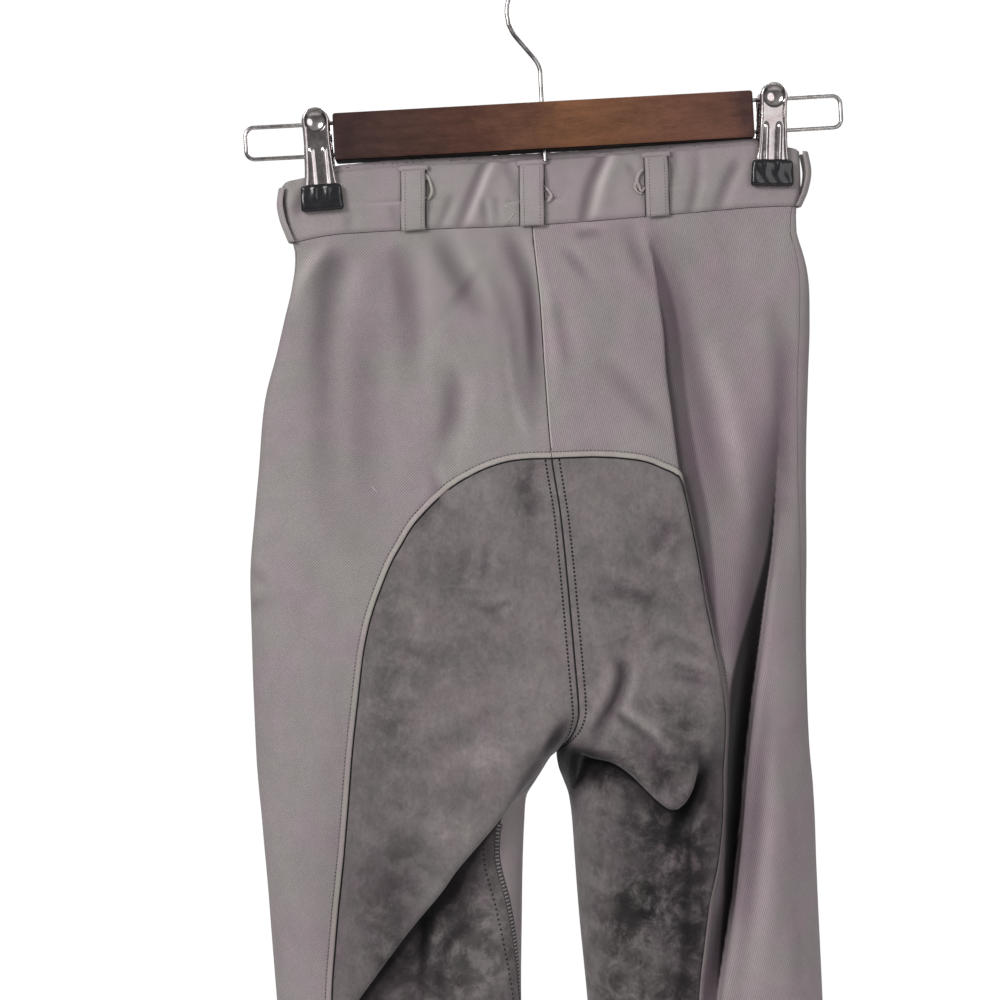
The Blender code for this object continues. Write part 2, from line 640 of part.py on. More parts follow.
def collection(name):
    found = bpy.data.collections.get(name)
    if found is None:
        found = bpy.data.collections.new(name)
        bpy.context.scene.collection.children.link(found)
    return found


def material(name, colour, roughness, metallic=0.0):
    made = bpy.data.materials.get(name)
    if made is None:
        made = bpy.data.materials.new(name)
        made.use_nodes = True
        shader = made.node_tree.nodes["Principled BSDF"]
        shader.inputs["Base Color"].default_value = (*colour, 1.0)
        shader.inputs["Roughness"].default_value = roughness
        shader.inputs["Metallic"].default_value = metallic
    return made


def add_object(name, points, faces, mat):
    mesh = bpy.data.meshes.new(name)
    mesh.from_pydata([tuple(float(c) * MM for c in p) for p in points], [], faces)
    mesh.validate()
    mesh.update()
    mesh.shade_smooth()
    mesh.set_sharp_from_angle(angle=math.radians(50.0))
    item = bpy.data.objects.new(name, mesh)
    item.data.materials.append(mat)
    collection(COLLECTION).objects.link(item)
    return item


def grid_faces(rows, columns, offset=0):
    """Quads of a grid stored row by row."""
    out = []
    for i in range(rows - 1):
        for j in range(columns - 1):
            a = offset + i * columns + j
            out.append((a, a + 1, a + columns + 1, a + columns))
    return out


def face_towards(points, normals, faces):
    """Turns the faces so that they look along the normals."""
    p = [points[i] for i in faces[len(faces) // 2]]
    n = np.cross(p[1] - p[0], p[2] - p[0])
    if np.dot(n, normals[faces[len(faces) // 2][0]]) < 0.0:
        return [tuple(reversed(f)) for f in faces]
    return faces


def split(points, faces):
    """Splits quads along the diagonal that stays at one depth, so that it follows the folds."""
    points = points * (1.0, 3.0, 1.0)
    out = []
    for f in faces:
        if len(f) == 3:
            out.append(f)
            continue
        a, b, c, d = f
        if np.linalg.norm(points[a] - points[c]) <= np.linalg.norm(points[b] - points[d]):
            out += [(a, b, c), (a, c, d)]
        else:
            out += [(a, b, d), (b, c, d)]
    return out


def wall(name, points, normals, faces, inner, outer, mat):
    """A closed wall between two distances along the normals of an open sheet."""
    points = np.asarray(points, float).reshape(-1, 3)
    normals = np.asarray(normals, float).reshape(-1, 3)
    faces = split(points, face_towards(points, normals, faces))
    count = len(points)
    both = np.vstack([points + normals * outer, points + normals * inner])
    edges = {}
    for f in faces:
        for a, b in zip(f, f[1:] + f[:1]):
            if (b, a) in edges:
                del edges[(b, a)]
            else:
                edges[(a, b)] = True
    out = list(faces)
    out += [tuple(i + count for i in reversed(f)) for f in faces]
    out += [(b, a, a + count, b + count) for a, b in edges]
    return add_object(name, both, out, mat)


TWILL = (0.285, 0.255, 0.250)
SUEDE = (0.170, 0.158, 0.152)
PIPING = (0.380, 0.340, 0.325)


# ------------------------------------------------------------------------------ cloth pieces

def arch_points(leg):
    """The patch's edge: the top from the centre to the corner, then one point at each row."""
    path = soft_path(ARCH_LEFT if leg == "left" else ARCH_RIGHT, 24)
    corner = int(np.argmax(path[:, 1] < CORNER_Z))
    share = (CORNER_Z - path[corner - 1, 1]) / (path[corner, 1] - path[corner - 1, 1])
    turn_point = path[corner - 1] + (path[corner] - path[corner - 1]) * share
    top = np.vstack([path[:corner], turn_point])
    run = np.concatenate([[0.0], np.cumsum(np.linalg.norm(np.diff(top, axis=0), axis=1))])
    even = np.linspace(0.0, run[-1], PATCH_COLUMNS[leg] + 1)
    top = np.stack([np.interp(even, run, top[:, k]) for k in (0, 1)], axis=1)
    down = Z_ROWS[CORNER_ROW:]
    side_x = np.interp(-down, -path[corner - 1:, 1], path[corner - 1:, 0])
    side_x[0] = turn_point[0]
    return top, np.stack([side_x, down], axis=1)


def shifted(path, amount):
    """A path moved to the left of its travel."""
    run = np.gradient(path, axis=0)
    run /= np.linalg.norm(run, axis=1, keepdims=True)
    return path + np.stack([-run[:, 1], run[:, 0]], axis=1) * amount


def side_turn(leg, z, shift):
    """The turn of the side seam on the back, moved along the cloth towards the outer edge."""
    face = FACES[leg, "back"]
    length = column(SIDE_SEAMS, 1 if leg == "left" else 2)(z)
    return face.turn_from_edge(length - shift, z, 1)


def inner_turn(leg, z, shift):
    """The turn of the inseam below the crotch, or 0 at the centre seam."""
    face = FACES[leg, "back"]
    length = column(INSEAMS, 1 if leg == "left" else 2)(z)
    turn = face.turn_from_edge(length + shift, z, 0)
    return np.where(z > CROTCH_Z + 0.01, 0.0, turn)


def upright(normals):
    """Normals without their vertical part, for the rows that meet the waistband."""
    normals = normals.copy()
    normals[:, 2] = 0.0
    return normals / np.linalg.norm(normals, axis=1, keepdims=True)


def back_panel(leg):
    """Twill back: whole above the patch's arch, then a strip outside it down to the hem."""
    face = FACES[leg, "back"]
    side = face.side
    inside, outside = PATCH_COLUMNS[leg], SIDE_COLUMNS[leg]
    top, down = arch_points(leg)
    edge = shifted(np.vstack([top, down[1:]]), side * SEAM / 2.0)
    top, down = edge[:inside + 1].copy(), edge[inside:].copy()
    top[0, 0] = float(face.start(np.array(top[0, 1])))
    down[:, 1] = Z_ROWS[CORNER_ROW:]
    down[0] = top[-1]
    across = inside + outside + 1
    z_top = WAIST_Z - SEAM / 2.0
    # The arch's own points, then even steps to the side seam.
    low_z = np.concatenate([top[:, 1], np.full(outside, top[-1, 1])])
    low_even = face.even_of_turn(face.turn_of_x(top[:, 0], top[:, 1]), top[:, 1])
    side_even = float(face.even_of_turn(side_turn(leg, np.array([top[-1, 1]]), -SEAM / 2.0),
                                        np.array([top[-1, 1]]))[0])
    steps = np.linspace(low_even[-1], side_even, outside + 1)[1:]
    low_even = np.concatenate([low_even, steps]) / side_even
    high_even = 0.35 * low_even + 0.65 * np.linspace(0.0, 1.0, across)
    points, normals = [], []
    for i in range(CORNER_ROW + 1):
        t = i / CORNER_ROW
        z = z_top + (low_z - z_top) * t
        limit = face.even_of_turn(side_turn(leg, z, -SEAM / 2.0), z)
        even = (high_even + (low_even - high_even) * t) * limit
        if 0 < i < CORNER_ROW:
            even, z = face.snapped(even, z)
        turn = face.turn_of(even, z)
        turn[0] = 0.0
        if i == CORNER_ROW:
            turn[:inside + 1] = face.turn_of_x(top[:, 0], top[:, 1])
        turn[-1] = side_turn(leg, z[-1:], -SEAM / 2.0)[0]
        if i == 0:
            stations = turn
        p, n = lay(face, turn, z)
        points.append(p)
        normals.append(n if i else upright(n))
    faces = grid_faces(CORNER_ROW + 1, across)
    base = (CORNER_ROW + 1) * across
    previous = [CORNER_ROW * across + inside + j for j in range(outside + 1)]
    for i in range(1, len(down)):
        z = np.full(outside + 1, down[i, 1])
        start = face.even_of_turn(face.turn_of_x(down[i, 0], down[i, 1]), down[i, 1])
        stop = face.even_of_turn(side_turn(leg, z[:1], -SEAM / 2.0), z[:1])[0]
        even, z = face.snapped(np.linspace(start, stop, outside + 1), z)
        turn = face.turn_of(even, z)
        turn[0] = face.turn_of_x(down[i, 0], down[i, 1])
        turn[-1] = side_turn(leg, z[:1], -SEAM / 2.0)[0]
        p, n = lay(face, turn, z)
        points.append(p)
        normals.append(n)
        current = [base + (i - 1) * (outside + 1) + j for j in range(outside + 1)]
        for j in range(outside):
            faces.append((previous[j], previous[j + 1], current[j + 1], current[j]))
        previous = current
    points = np.vstack(points)
    normals = np.vstack(normals)
    wall(f"back_panel_{leg}", points, normals, faces, -CLOTH / 2.0, CLOTH / 2.0,
         material("twill", TWILL, 0.9))
    # The panel's edge along the patch and the points next to it, for the piping.
    first = CORNER_ROW * across
    edge_at = [first + j for j in range(inside + 1)]
    edge_at += [base + i * (outside + 1) for i in range(len(down) - 1)]
    next_at = [first - across + j for j in range(inside)]
    next_at += [first - across + inside + 1]
    next_at += [base + i * (outside + 1) + 1 for i in range(len(down) - 1)]
    return (points[edge_at], points[next_at], normals[edge_at]), stations


ROW_DIP_AT = column(ROW_DIP, 1)


def seat_patch(leg):
    """Suede seat and inner leg, a Coons patch between arch, seam, edge and hem."""
    face = FACES[leg, "back"]
    side = face.side
    inside = PATCH_COLUMNS[leg]
    top, down = arch_points(leg)
    edge = shifted(np.vstack([top, down[1:]]), -side * SEAM / 2.0)
    top, down = edge[:inside + 1].copy(), edge[inside:].copy()
    top[0, 0] = float(face.start(np.array(top[0, 1])))
    down[1:, 1] = Z_ROWS[CORNER_ROW + 1:]
    down[0] = top[-1]
    rows = len(down)
    lift = (top[0, 1] - down[0, 1]) * (1.0 - smooth((CORNER_Z - down[:, 1]) / 130.0))
    seam_z = down[:, 1] + lift
    seam_z[0] = top[0, 1]
    seam_turn = inner_turn(leg, seam_z, SEAM / 2.0)
    top_even = face.even_of_turn(face.turn_of_x(top[:, 0], top[:, 1]), top[:, 1])
    edge_turn = face.turn_of_x(down[:, 0], down[:, 1])
    edge_even = face.even_of_turn(edge_turn, down[:, 1])
    seam_even = face.even_of_turn(seam_turn, seam_z)
    s = np.linspace(0.0, 1.0, inside + 1)
    points, normals = [], []
    for i in range(rows):
        fall = smooth(min(1.0, i / 9.0))
        even_line = seam_even[i] + (edge_even[i] - seam_even[i]) * s
        z_line = seam_z[i] + (down[i, 1] - seam_z[i]) * s
        top_even_here = top_even / top_even[-1]
        arch_even = seam_even[i] + (edge_even[i] - seam_even[i]) * top_even_here
        arch_z = top[:, 1] - (top[0, 1] + (top[-1, 1] - top[0, 1]) * s)
        even = arch_even * (1.0 - fall) + even_line * fall
        z = z_line + arch_z * (1.0 - fall)
        if i > 0:
            even, z = face.snapped(even, z)
        turn = face.turn_of(even, z)
        if leg == "right":
            # The rows run along the seat's lap.
            x = face.plain_x(turn, z)
            strength = smooth((-330.0 - down[i, 1]) / 130.0)
            strength *= 1.0 - smooth((-460.0 - down[i, 1]) / 120.0)
            to_edge = smooth((down[i, 0] - x) / 12.0)
            z = z + ROW_DIP_AT(x) * strength * to_edge
            turn = face.turn_of_x(x, z)
        turn[0] = seam_turn[i]
        turn[-1] = edge_turn[i]
        if i == 0:
            turn = face.turn_of_x(top[:, 0], top[:, 1])
            turn[0] = 0.0
            z = top[:, 1].copy()
        p, n = lay(face, turn, z)
        points.append(p)
        normals.append(n)
    across = inside + 1
    points = np.vstack(points)
    normals = np.vstack(normals)
    wall(f"seat_patch_{leg}", points, normals, grid_faces(rows, across),
         -CLOTH / 2.0, CLOTH / 2.0, material("suede", SUEDE, 0.97))
    edge_at = list(range(across)) + [i * across + inside for i in range(1, rows)]
    next_at = [across + j for j in range(inside)] + [across + inside - 1]
    next_at += [i * across + inside - 1 for i in range(1, rows)]
    return points[edge_at], points[next_at], normals[edge_at]


def piping(leg, panel, patch):
    """Flat piping over the seam between panel and patch, made from their points moved out."""
    middle = (panel[0] + patch[0]) / 2.0
    along = np.gradient(middle, axis=0)
    along /= np.linalg.norm(along, axis=1, keepdims=True)

    def reach(edge, inner):
        """The point half the piping's width in from the edge, on the line to the next point."""
        run = inner - edge
        square = run - along * np.sum(run * along, axis=1, keepdims=True)
        wide = np.linalg.norm(square, axis=1, keepdims=True)
        return edge + run * np.minimum(PIPE_WIDTH / 2.0 / np.maximum(wide, 0.3), 0.9)

    outer_edge = reach(panel[0], panel[1])
    inner_edge = reach(patch[0], patch[1])
    for strip in (outer_edge, inner_edge):
        strip[0, 0] = middle[0, 0]
    across = inner_edge - outer_edge
    square = np.cross(along, across)
    square /= np.linalg.norm(square, axis=1, keepdims=True)
    square *= np.sign(np.sum(square * (panel[2] + patch[2]), axis=1, keepdims=True))
    square[0, 0] = 0.0
    square[0] /= np.linalg.norm(square[0])
    points = np.stack([outer_edge, middle, inner_edge], axis=1)
    normals = np.stack([square] * 3, axis=1)
    low = CLOTH / 2.0 + SEAM + PIPE_STAND[leg]
    wall(f"piping_{leg}", points, normals, grid_faces(len(middle), 3), low, low + PIPE_THICK,
         material("piping", PIPING, 0.85))


def front_row(leg, z, count):
    """One row of the front panel: from the side seam on the back, round the outer edge, over the
    front and, below the crotch, round the inner edge to the inseam."""
    back, front = FACES[leg, "back"], FACES[leg, "front"]
    start = side_turn(leg, np.array([z]), SEAM / 2.0)[0]
    runs = [(back, np.linspace(start, 1.0, 24)), (front, np.linspace(1.0, 0.0, 200))]
    if z < CROTCH_Z + 0.01:
        stop = inner_turn(leg, np.array([z]), -SEAM / 2.0)[0]
        length = float(column(INSEAMS, 1 if leg == "left" else 2)(z)) - SEAM / 2.0
        if length > 0.4:
            runs.append((back, np.linspace(0.0, stop, 40)))
        else:
            stop = front.turn_from_edge(SEAM / 2.0, np.array([z]), 0)[0]
            runs[1] = (front, np.linspace(1.0, stop, 200))
    p, n = [], []
    for face, turns in runs:
        a, b = lay(face, turns, np.full(turns.shape, z))
        p.append(a)
        n.append(b)
    p = np.vstack(p)
    n = np.vstack(n)
    gap = np.linalg.norm(np.diff(p, axis=0), axis=1)
    run = np.concatenate([[0.0], np.cumsum(gap)])
    # The second column stays on the outer edge.
    outer = run[23]
    even = np.concatenate([[0.0], np.linspace(outer, run[-1], count - 1)])
    points = np.stack([np.interp(even, run, p[:, k]) for k in range(3)], axis=1)
    normals = np.stack([np.interp(even, run, n[:, k]) for k in range(3)], axis=1)
    normals /= np.linalg.norm(normals, axis=1, keepdims=True)
    normals[1, 1] = 0.0
    normals[1] /= np.linalg.norm(normals[1])
    return points, normals


def front_panel(leg):
    """Twill front, from side seam to centre front and inseam."""
    points, normals = [], []
    for i, z in enumerate(Z_ROWS):
        p, n = front_row(leg, z - SEAM / 2.0 if i == 0 else z, FRONT_COLUMNS + 1)
        points.append(p)
        normals.append(n if i else upright(n))
    points = np.vstack(points)
    normals = np.vstack(normals)
    wall(f"front_panel_{leg}", points, normals, grid_faces(len(Z_ROWS), FRONT_COLUMNS + 1),
         -CLOTH / 2.0, CLOTH / 2.0, material("twill", TWILL, 0.9))
    return points.reshape(len(Z_ROWS), -1, 3), normals.reshape(len(Z_ROWS), -1, 3)


OVERLAP = 26.0          # the waist's right end laps over its left end at the centre front


def band_row(leg, share, stations):
    """One row of the waistband's half, from the centre back round the side to the front."""
    back, front = FACES[leg, "back"], FACES[leg, "front"]
    z = BAND_TOP_Z + (WAIST_Z + SEAM / 2.0 - BAND_TOP_Z) * share
    on_back, on_front = stations
    p = np.vstack([back.point(on_back, z), front.point(on_front, z)])
    n = upright(np.vstack([back.normal(on_back, z), front.normal(on_front, z)]))
    n[0] = (0.0, -1.0, 0.0)
    n[-1] = (0.0, 1.0, 0.0)
    if leg == "right":
        # The lapped end, moved out over the left half.
        reach = np.linspace(0.0, OVERLAP, 4)[1:]
        extra = np.repeat(p[-1:], len(reach), axis=0)
        extra[:, 0] -= reach
        middle = BOW * np.maximum(0.0, 1.0 - (extra[:, 0] / BOW_REACH) ** 2)
        extra[:, 1] = middle + HALF_GAP(extra[:, 0])
        p = np.vstack([p, extra])
        n = np.vstack([n, np.repeat(n[-1:], len(reach), axis=0)])
        start = float(front.start(np.array(z)))
        p[:, 1] += (BAND + SEAM) * smooth((start + 14.0 - p[:, 0]) / 11.0) * (p[:, 1] > 6.0)
    top = BAND_TOP(p[:, 0])
    foot = BAND_FOOT(p[:, 0]) + SEAM / 2.0
    p[:, 2] = top + (foot - top) * share
    return p, n


def waistband(leg, on_back, front_line):
    """Half the waistband, with its columns where the panels have theirs."""
    front = FACES[leg, "front"]
    side = front.side
    z = np.array(WAIST_Z)
    # Besides the panel's columns: the fold, the jaw's two sides and the lap's foot.
    x = np.abs(front_line[2:-1, 0])
    x = np.concatenate([x, [abs(float(front.end(z))) - 1.2, 146.8, 119.0]])
    x = side * np.sort(x)[::-1]
    closing = [float(front.start(z)) + side * 3.0] if leg == "right" else []
    x = np.concatenate([x, closing, [float(front.start(z))]])
    stations = (np.concatenate([on_back, [1.0]]), front.turn_of_x(x, np.full(x.shape, WAIST_Z)))
    stations[1][-1] = 0.0
    points, normals = [], []
    for i in range(BAND_ROWS + 1):
        p, n = band_row(leg, i / BAND_ROWS, stations)
        points.append(p)
        normals.append(n)
    wall(f"waistband_{leg}", np.vstack(points), np.vstack(normals),
         grid_faces(BAND_ROWS + 1, len(points[0])), -BAND / 2.0, BAND / 2.0,
         material("twill", TWILL, 0.9))
    return np.array(points), np.array(normals)


def band_skin(band, sign):
    """Height field of the band's outer skin on one face: the outermost y over an x range."""
    points, normals = band
    skin = points + normals * (BAND / 2.0)
    keep = normals[0, :, 1] * sign > 0.9

    def outermost(x_from, x_to, share):
        row = share * (len(skin) - 1)
        i = min(int(row), len(skin) - 2)
        line = skin[i] + (skin[i + 1] - skin[i]) * (row - i)
        line = line[keep]
        order = np.argsort(line[:, 0])
        x = np.linspace(x_from, x_to, 9)
        y = np.interp(x, line[order, 0], line[order, 1])
        return float(np.max(y * sign)) * sign

    return outermost


def belt_loop(name, skins, x, width, sign, stand, top_drop=3.6):
    """A folded strip on the band, standing off it between its ends, which are sewn down."""
    rows = 8
    points, normals = [], []
    for i in range(rows + 1):
        t = i / rows
        top = float(BAND_TOP(x)) - top_drop
        foot = float(BAND_FOOT(x)) - 0.6
        z = top + (foot - top) * t
        share = np.clip((float(BAND_TOP(x)) - z) / float(BAND_TOP(x) - BAND_FOOT(x)), 0.0, 1.0)
        y = max(skin(x - width / 2.0, x + width / 2.0, share) * sign for skin in skins) * sign
        lift = SEAM + LOOP / 2.0 + 0.2 + stand * math.sin(math.pi * t) ** 0.6
        for j in (-1.0, 0.0, 1.0):
            points.append((x + j * width / 2.0, y + sign * lift, z))
            normals.append((0.0, sign, 0.0))
    wall(name, points, normals, grid_faces(rows + 1, 3), -LOOP / 2.0, LOOP / 2.0,
         material("twill", TWILL, 0.9))


SIDE_LOOPS = (  # name, side, top z, foot z, stand at the top, middle and foot
    ("belt_loop_side_left", -1.0, -117.0, -149.2, 0.4, 2.6, 0.5),
    ("belt_loop_side_right", 1.0, -112.5, -144.4, 3.2, 4.6, -0.15),
)


def side_loop(name, side, top, foot, stand_top, stand_mid, stand_foot):
    """A loop at the band's fold, bent round it and seen edge-on from the back."""
    rows, columns = 8, 4
    outer = LEFT_OUTER if side < 0.0 else RIGHT_OUTER
    stand = column(((0.0, stand_top), (0.35, stand_mid), (1.0, stand_foot)), 1)
    points, normals = [], []
    for i in range(rows + 1):
        t = i / rows
        z = top + (foot - top) * t
        nominal = min(-105.0, z)
        edge = float(outer(nominal)) + side * (BAND / 2.0 + SEAM + 0.2 + LOOP / 2.0 + float(stand(t)))
        for j in range(columns + 1):
            angle = math.radians(62.0) * (2.0 * j / columns - 1.0)
            radius = 6.5
            x = edge - side * radius * (1.0 - math.cos(angle))
            points.append((x, radius * math.sin(angle), z))
            normals.append((side * math.cos(angle), math.sin(angle), 0.0))
    wall(name, points, normals, grid_faces(rows + 1, columns + 1), -LOOP / 2.0, LOOP / 2.0,
         material("twill", TWILL, 0.9))


def fly_placket(panel):
    """The shield over the fly, on the right front panel from its points, moved out."""
    points, normals = panel
    columns = points.shape[1]
    width, length = 38.0, 150.0
    rows = [i for i in range(len(Z_ROWS)) if Z_ROWS[i] > WAIST_Z - length]
    sheet, out = [], []
    for i in rows:
        line, across = points[i], normals[i]
        run = np.linalg.norm(np.diff(line[::-1], axis=0), axis=1)
        run = np.concatenate([[0.0], np.cumsum(run)])
        drop = (WAIST_Z - Z_ROWS[i]) / length
        wide = width * math.sqrt(max(0.0, 1.0 - max(0.0, (drop - 0.55) / 0.5) ** 2))
        reach = np.array([0.35, 0.5, 1.0]) * wide
        reach[0] = 0.4
        for r in reach:
            k = np.clip(np.searchsorted(run, r) - 1, 0, columns - 2)
            t = (r - run[k]) / (run[k + 1] - run[k])
            a, b = columns - 1 - k, columns - 2 - k
            sheet.append(line[a] + (line[b] - line[a]) * t)
            n = across[a] + (across[b] - across[a]) * t
            out.append(n / np.linalg.norm(n))
    low = CLOTH / 2.0 + SEAM + 0.1
    wall("fly_placket", np.array(sheet), np.array(out), grid_faces(len(rows), 3), low, low + CLOTH,
         material("twill", TWILL, 0.9))


# ---------------------------------------------------------------------------------- hardware

def wire(name, route, radius, mat, sides=2):
    """A round wire as a bevelled poly curve with its ends filled."""
    data = bpy.data.curves.new(name, "CURVE")
    data.dimensions = "3D"
    data.bevel_depth = radius * MM
    data.bevel_resolution = sides
    data.use_fill_caps = True
    spline = data.splines.new("POLY")
    spline.points.add(len(route) - 1)
    for spot, place in zip(spline.points, route):
        spot.co = (place[0] * MM, place[1] * MM, place[2] * MM, 1.0)
    item = bpy.data.objects.new(name, data)
    item.data.materials.append(mat)
    collection(COLLECTION).objects.link(item)
    return item


def box(name, size, centre, mat, bevel=0.0, segments=1, rotation=0.0):
    """A box from the cube primitive, scaled in its mesh, with rounded edges."""
    mesh = bpy.data.meshes.new(name)
    shape = bmesh.new()
    bmesh.ops.create_cube(shape, size=1.0)
    bmesh.ops.scale(shape, vec=Vector(size) * MM, verts=shape.verts)
    shape.to_mesh(mesh)
    shape.free()
    item = bpy.data.objects.new(name, mesh)
    item.location = Vector(centre) * MM
    item.rotation_euler = (0.0, rotation, 0.0)
    item.data.materials.append(mat)
    collection(COLLECTION).objects.link(item)
    if bevel:
        soft = item.modifiers.new("rounded edges", "BEVEL")
        soft.width = bevel * MM
        soft.segments = segments
        soft.limit_method = "ANGLE"
    return item


def cylinder(name, radius, depth, centre, axis, sides, where, mat=None):
    mesh = bpy.data.meshes.new(name)
    shape = bmesh.new()
    bmesh.ops.create_cone(shape, cap_ends=True, segments=sides, radius1=radius * MM,
                          radius2=radius * MM, depth=depth * MM)
    if axis == "X":
        bmesh.ops.rotate(shape, verts=shape.verts, matrix=Matrix.Rotation(math.pi / 2.0, 3, "Y"))
    if axis == "Y":
        bmesh.ops.rotate(shape, verts=shape.verts, matrix=Matrix.Rotation(math.pi / 2.0, 3, "X"))
    shape.to_mesh(mesh)
    shape.free()
    item = bpy.data.objects.new(name, mesh)
    item.location = Vector(centre) * MM
    if mat:
        item.data.materials.append(mat)
    collection(where).objects.link(item)
    return item


def hanger_bar():
    wood = material("dark wood", (0.105, 0.048, 0.026), 0.38)
    item = box("hanger_bar", BAR, (0.0, 0.0, BAR_TOP_Z - BAR[2] / 2.0), wood, 1.4, 2)
    holes = [("stem_hole", WIRE_R + SEAM, BAR[2] + 10.0, (0.0, 0.0, BAR_TOP_Z - BAR[2] / 2.0), "Z")]
    for side in (-1.0, 1.0):
        for z in END_LOOP_Z:
            holes.append((f"socket_{side:+.0f}_{z:.0f}", LOOP_WIRE_R + SEAM, 2.0 * SOCKET + 0.6,
                          (side * BAR[0] / 2.0, 0.0, z), "X"))
    for name, radius, depth, centre, axis in holes:
        cutter = cylinder(name, radius, depth, centre, axis, 12, "cutters")
        cutter.hide_render = True
        cutter.display_type = "WIRE"
        cut = item.modifiers.new(name, "BOOLEAN")
        cut.operation = "DIFFERENCE"
        cut.object = cutter


def hanger_hook():
    steel = material("chrome", (0.72, 0.72, 0.73), 0.18, 1.0)
    top = WIRE_R
    centre_z = top - HOOK_RZ
    bend = ((0.0, -60.0), (0.0, -55.0), (-2.0, -49.4), (-8.4, -40.8), (-14.4, -32.8),
            (-17.2, -26.6))
    route = [(0.0, 0.0, STEM_END_Z), (0.0, 0.0, -85.0)]
    route += [(x, 0.0, z) for x, z in soft_path(bend, 3)]
    for degrees in range(180, 19, -10):
        angle = math.radians(degrees)
        route.append((HOOK_RX * math.cos(angle), 0.0, centre_z + HOOK_RZ * math.sin(angle)))
    wire("hanger_hook", route, WIRE_R, steel)


def end_loop(side, name):
    steel = material("chrome", (0.72, 0.72, 0.73), 0.18, 1.0)
    high, low = END_LOOP_Z
    start = BAR[0] / 2.0 - SOCKET + SEAM
    radius = 5.0
    route = [(start, high), (END_LOOP_X - radius, high)]
    for degrees in (60, 30, 0):
        angle = math.radians(degrees)
        route.append((END_LOOP_X - radius + radius * math.cos(angle),
                      high - radius + radius * math.sin(angle)))
    for degrees in (0, -30, -60):
        angle = math.radians(degrees)
        route.append((END_LOOP_X - radius + radius * math.cos(angle),
                      low + radius + radius * math.sin(angle)))
    route += [(END_LOOP_X - radius, low), (start, low)]
    wire(name, [(side * x, 0.0, z) for x, z in route], LOOP_WIRE_R, steel)


def clip_plate(name, x_top, lean, sign):
    """A pressed plate: round top with a dished finger rest, two ribs, edges turned in."""
    across = np.array((-1.0, -0.86, -0.5, 0.0, 0.5, 0.86, 1.0))
    points, normals = [], []
    for z, half, away in PLATE_SHAPE:
        half = max(half, 0.6)
        centre = x_top + lean * (CLIP_TOP_Z - z)
        rib = smooth((-95.0 - z) / 4.0)
        for share in across:
            x = share * half
            y = away
            y -= 1.5 * max(0.0, abs(share) - 0.86) / 0.14 * min(1.0, half / 6.0)
            y -= 1.3 * max(0.0, 1.0 - math.hypot(x, z + 80.2) / 6.5) ** 0.7
            y += 0.7 * rib * (1.0 if abs(abs(share) - 0.5) < 0.01 else 0.0)
            points.append((centre + x, sign * y, z + x * lean))
            normals.append((0.0, sign, 0.0))
    wall(name, points, normals, grid_faces(len(PLATE_SHAPE), len(across)),
         -PLATE / 2.0, PLATE / 2.0, material("chrome", (0.72, 0.72, 0.73), 0.18, 1.0))


def clips():
    black = material("black vinyl", (0.012, 0.012, 0.014), 0.22)
    steel = material("chrome", (0.72, 0.72, 0.73), 0.18, 1.0)
    for name, x_top, x_jaw in CLIPS:
        run = CLIP_TOP_Z - (CAP_TOP_Z - CAP[2])
        tilt = math.atan2(x_jaw - x_top, run)
        z_mid = CAP_TOP_Z - CAP[2] / 2.0
        x_cap = x_top + (x_jaw - x_top) * (CLIP_TOP_Z - z_mid) / run
        x_spring = x_top + (x_jaw - x_top) * (CLIP_TOP_Z - CLIP_SPRING_Z) / run
        for face, sign in (("back", -1.0), ("front", 1.0)):
            clip_plate(f"clip_{name}_{face}", x_top, (x_jaw - x_top) / run, sign)
            y = sign * (1.45 + BAND / 2.0 + SEAM + CAP[1] / 2.0)
            box(f"cap_{name}_{face}", CAP, (x_cap, y, z_mid), black, 1.7, 2, -tilt)
        cylinder(f"clip_{name}_spring", CLIP_SPRING_R, CLIP_SPRING_LENGTH,
                 (x_spring, 0.0, CLIP_SPRING_Z), "X", 16, COLLECTION, steel)


def waist_button(bands):
    """A flat button on the lapped end of the waist."""
    bone = material("button", (0.20, 0.18, 0.17), 0.4)
    x, radius, thick = -12.0, 8.5, 2.6
    skin = band_skin(bands["right"], 1.0)
    y = skin(x - radius, x + radius, 0.5) + SEAM + thick / 2.0
    item = cylinder("waist_button", radius, thick, (x, y, -126.0), "Y", 20, COLLECTION, bone)
    soft = item.modifiers.new("rounded edge", "BEVEL")
    soft.width = 0.7 * MM
    soft.segments = 1
    soft.limit_method = "ANGLE"


BACK_LOOPS = (  # name, x, width
    ("belt_loop_back_left", -79.5, 14.3),
    ("belt_loop_back_centre", -8.7, 14.3),
    ("belt_loop_back_right", 66.1, 13.3),
)
FRONT_LOOPS = (
    ("belt_loop_front_left", -84.0, 14.3),
    ("belt_loop_front_right", 88.0, 14.3),
)


def build():
    clear_scene()
    collection(COLLECTION)
    collection("cutters")
    fronts = {}
    bands = {}
    for leg in ("left", "right"):
        panel, stations = back_panel(leg)
        piping(leg, panel, seat_patch(leg))
        fronts[leg] = front_panel(leg)
        bands[leg] = waistband(leg, stations, fronts[leg][0][0])
    back_skins = [band_skin(bands[leg], -1.0) for leg in bands]
    for name, x, width in BACK_LOOPS:
        near = [back_skins[0]] if x + width / 2.0 < -11.0 else [back_skins[1]]
        if abs(x + 9.0) < 10.0:
            near = back_skins
        belt_loop(name, near, x, width, -1.0, 2.0)
    for name, x, width in FRONT_LOOPS:
        near = [band_skin(bands["left" if x < 0.0 else "right"], 1.0)]
        belt_loop(name, near, x, width, 1.0, 2.3)
    for row in SIDE_LOOPS:
        side_loop(*row)
    fly_placket(fronts["right"])
    hanger_bar()
    hanger_hook()
    end_loop(-1.0, "end_loop_left")
    end_loop(1.0, "end_loop_right")
    clips()
    waist_button(bands)


build()
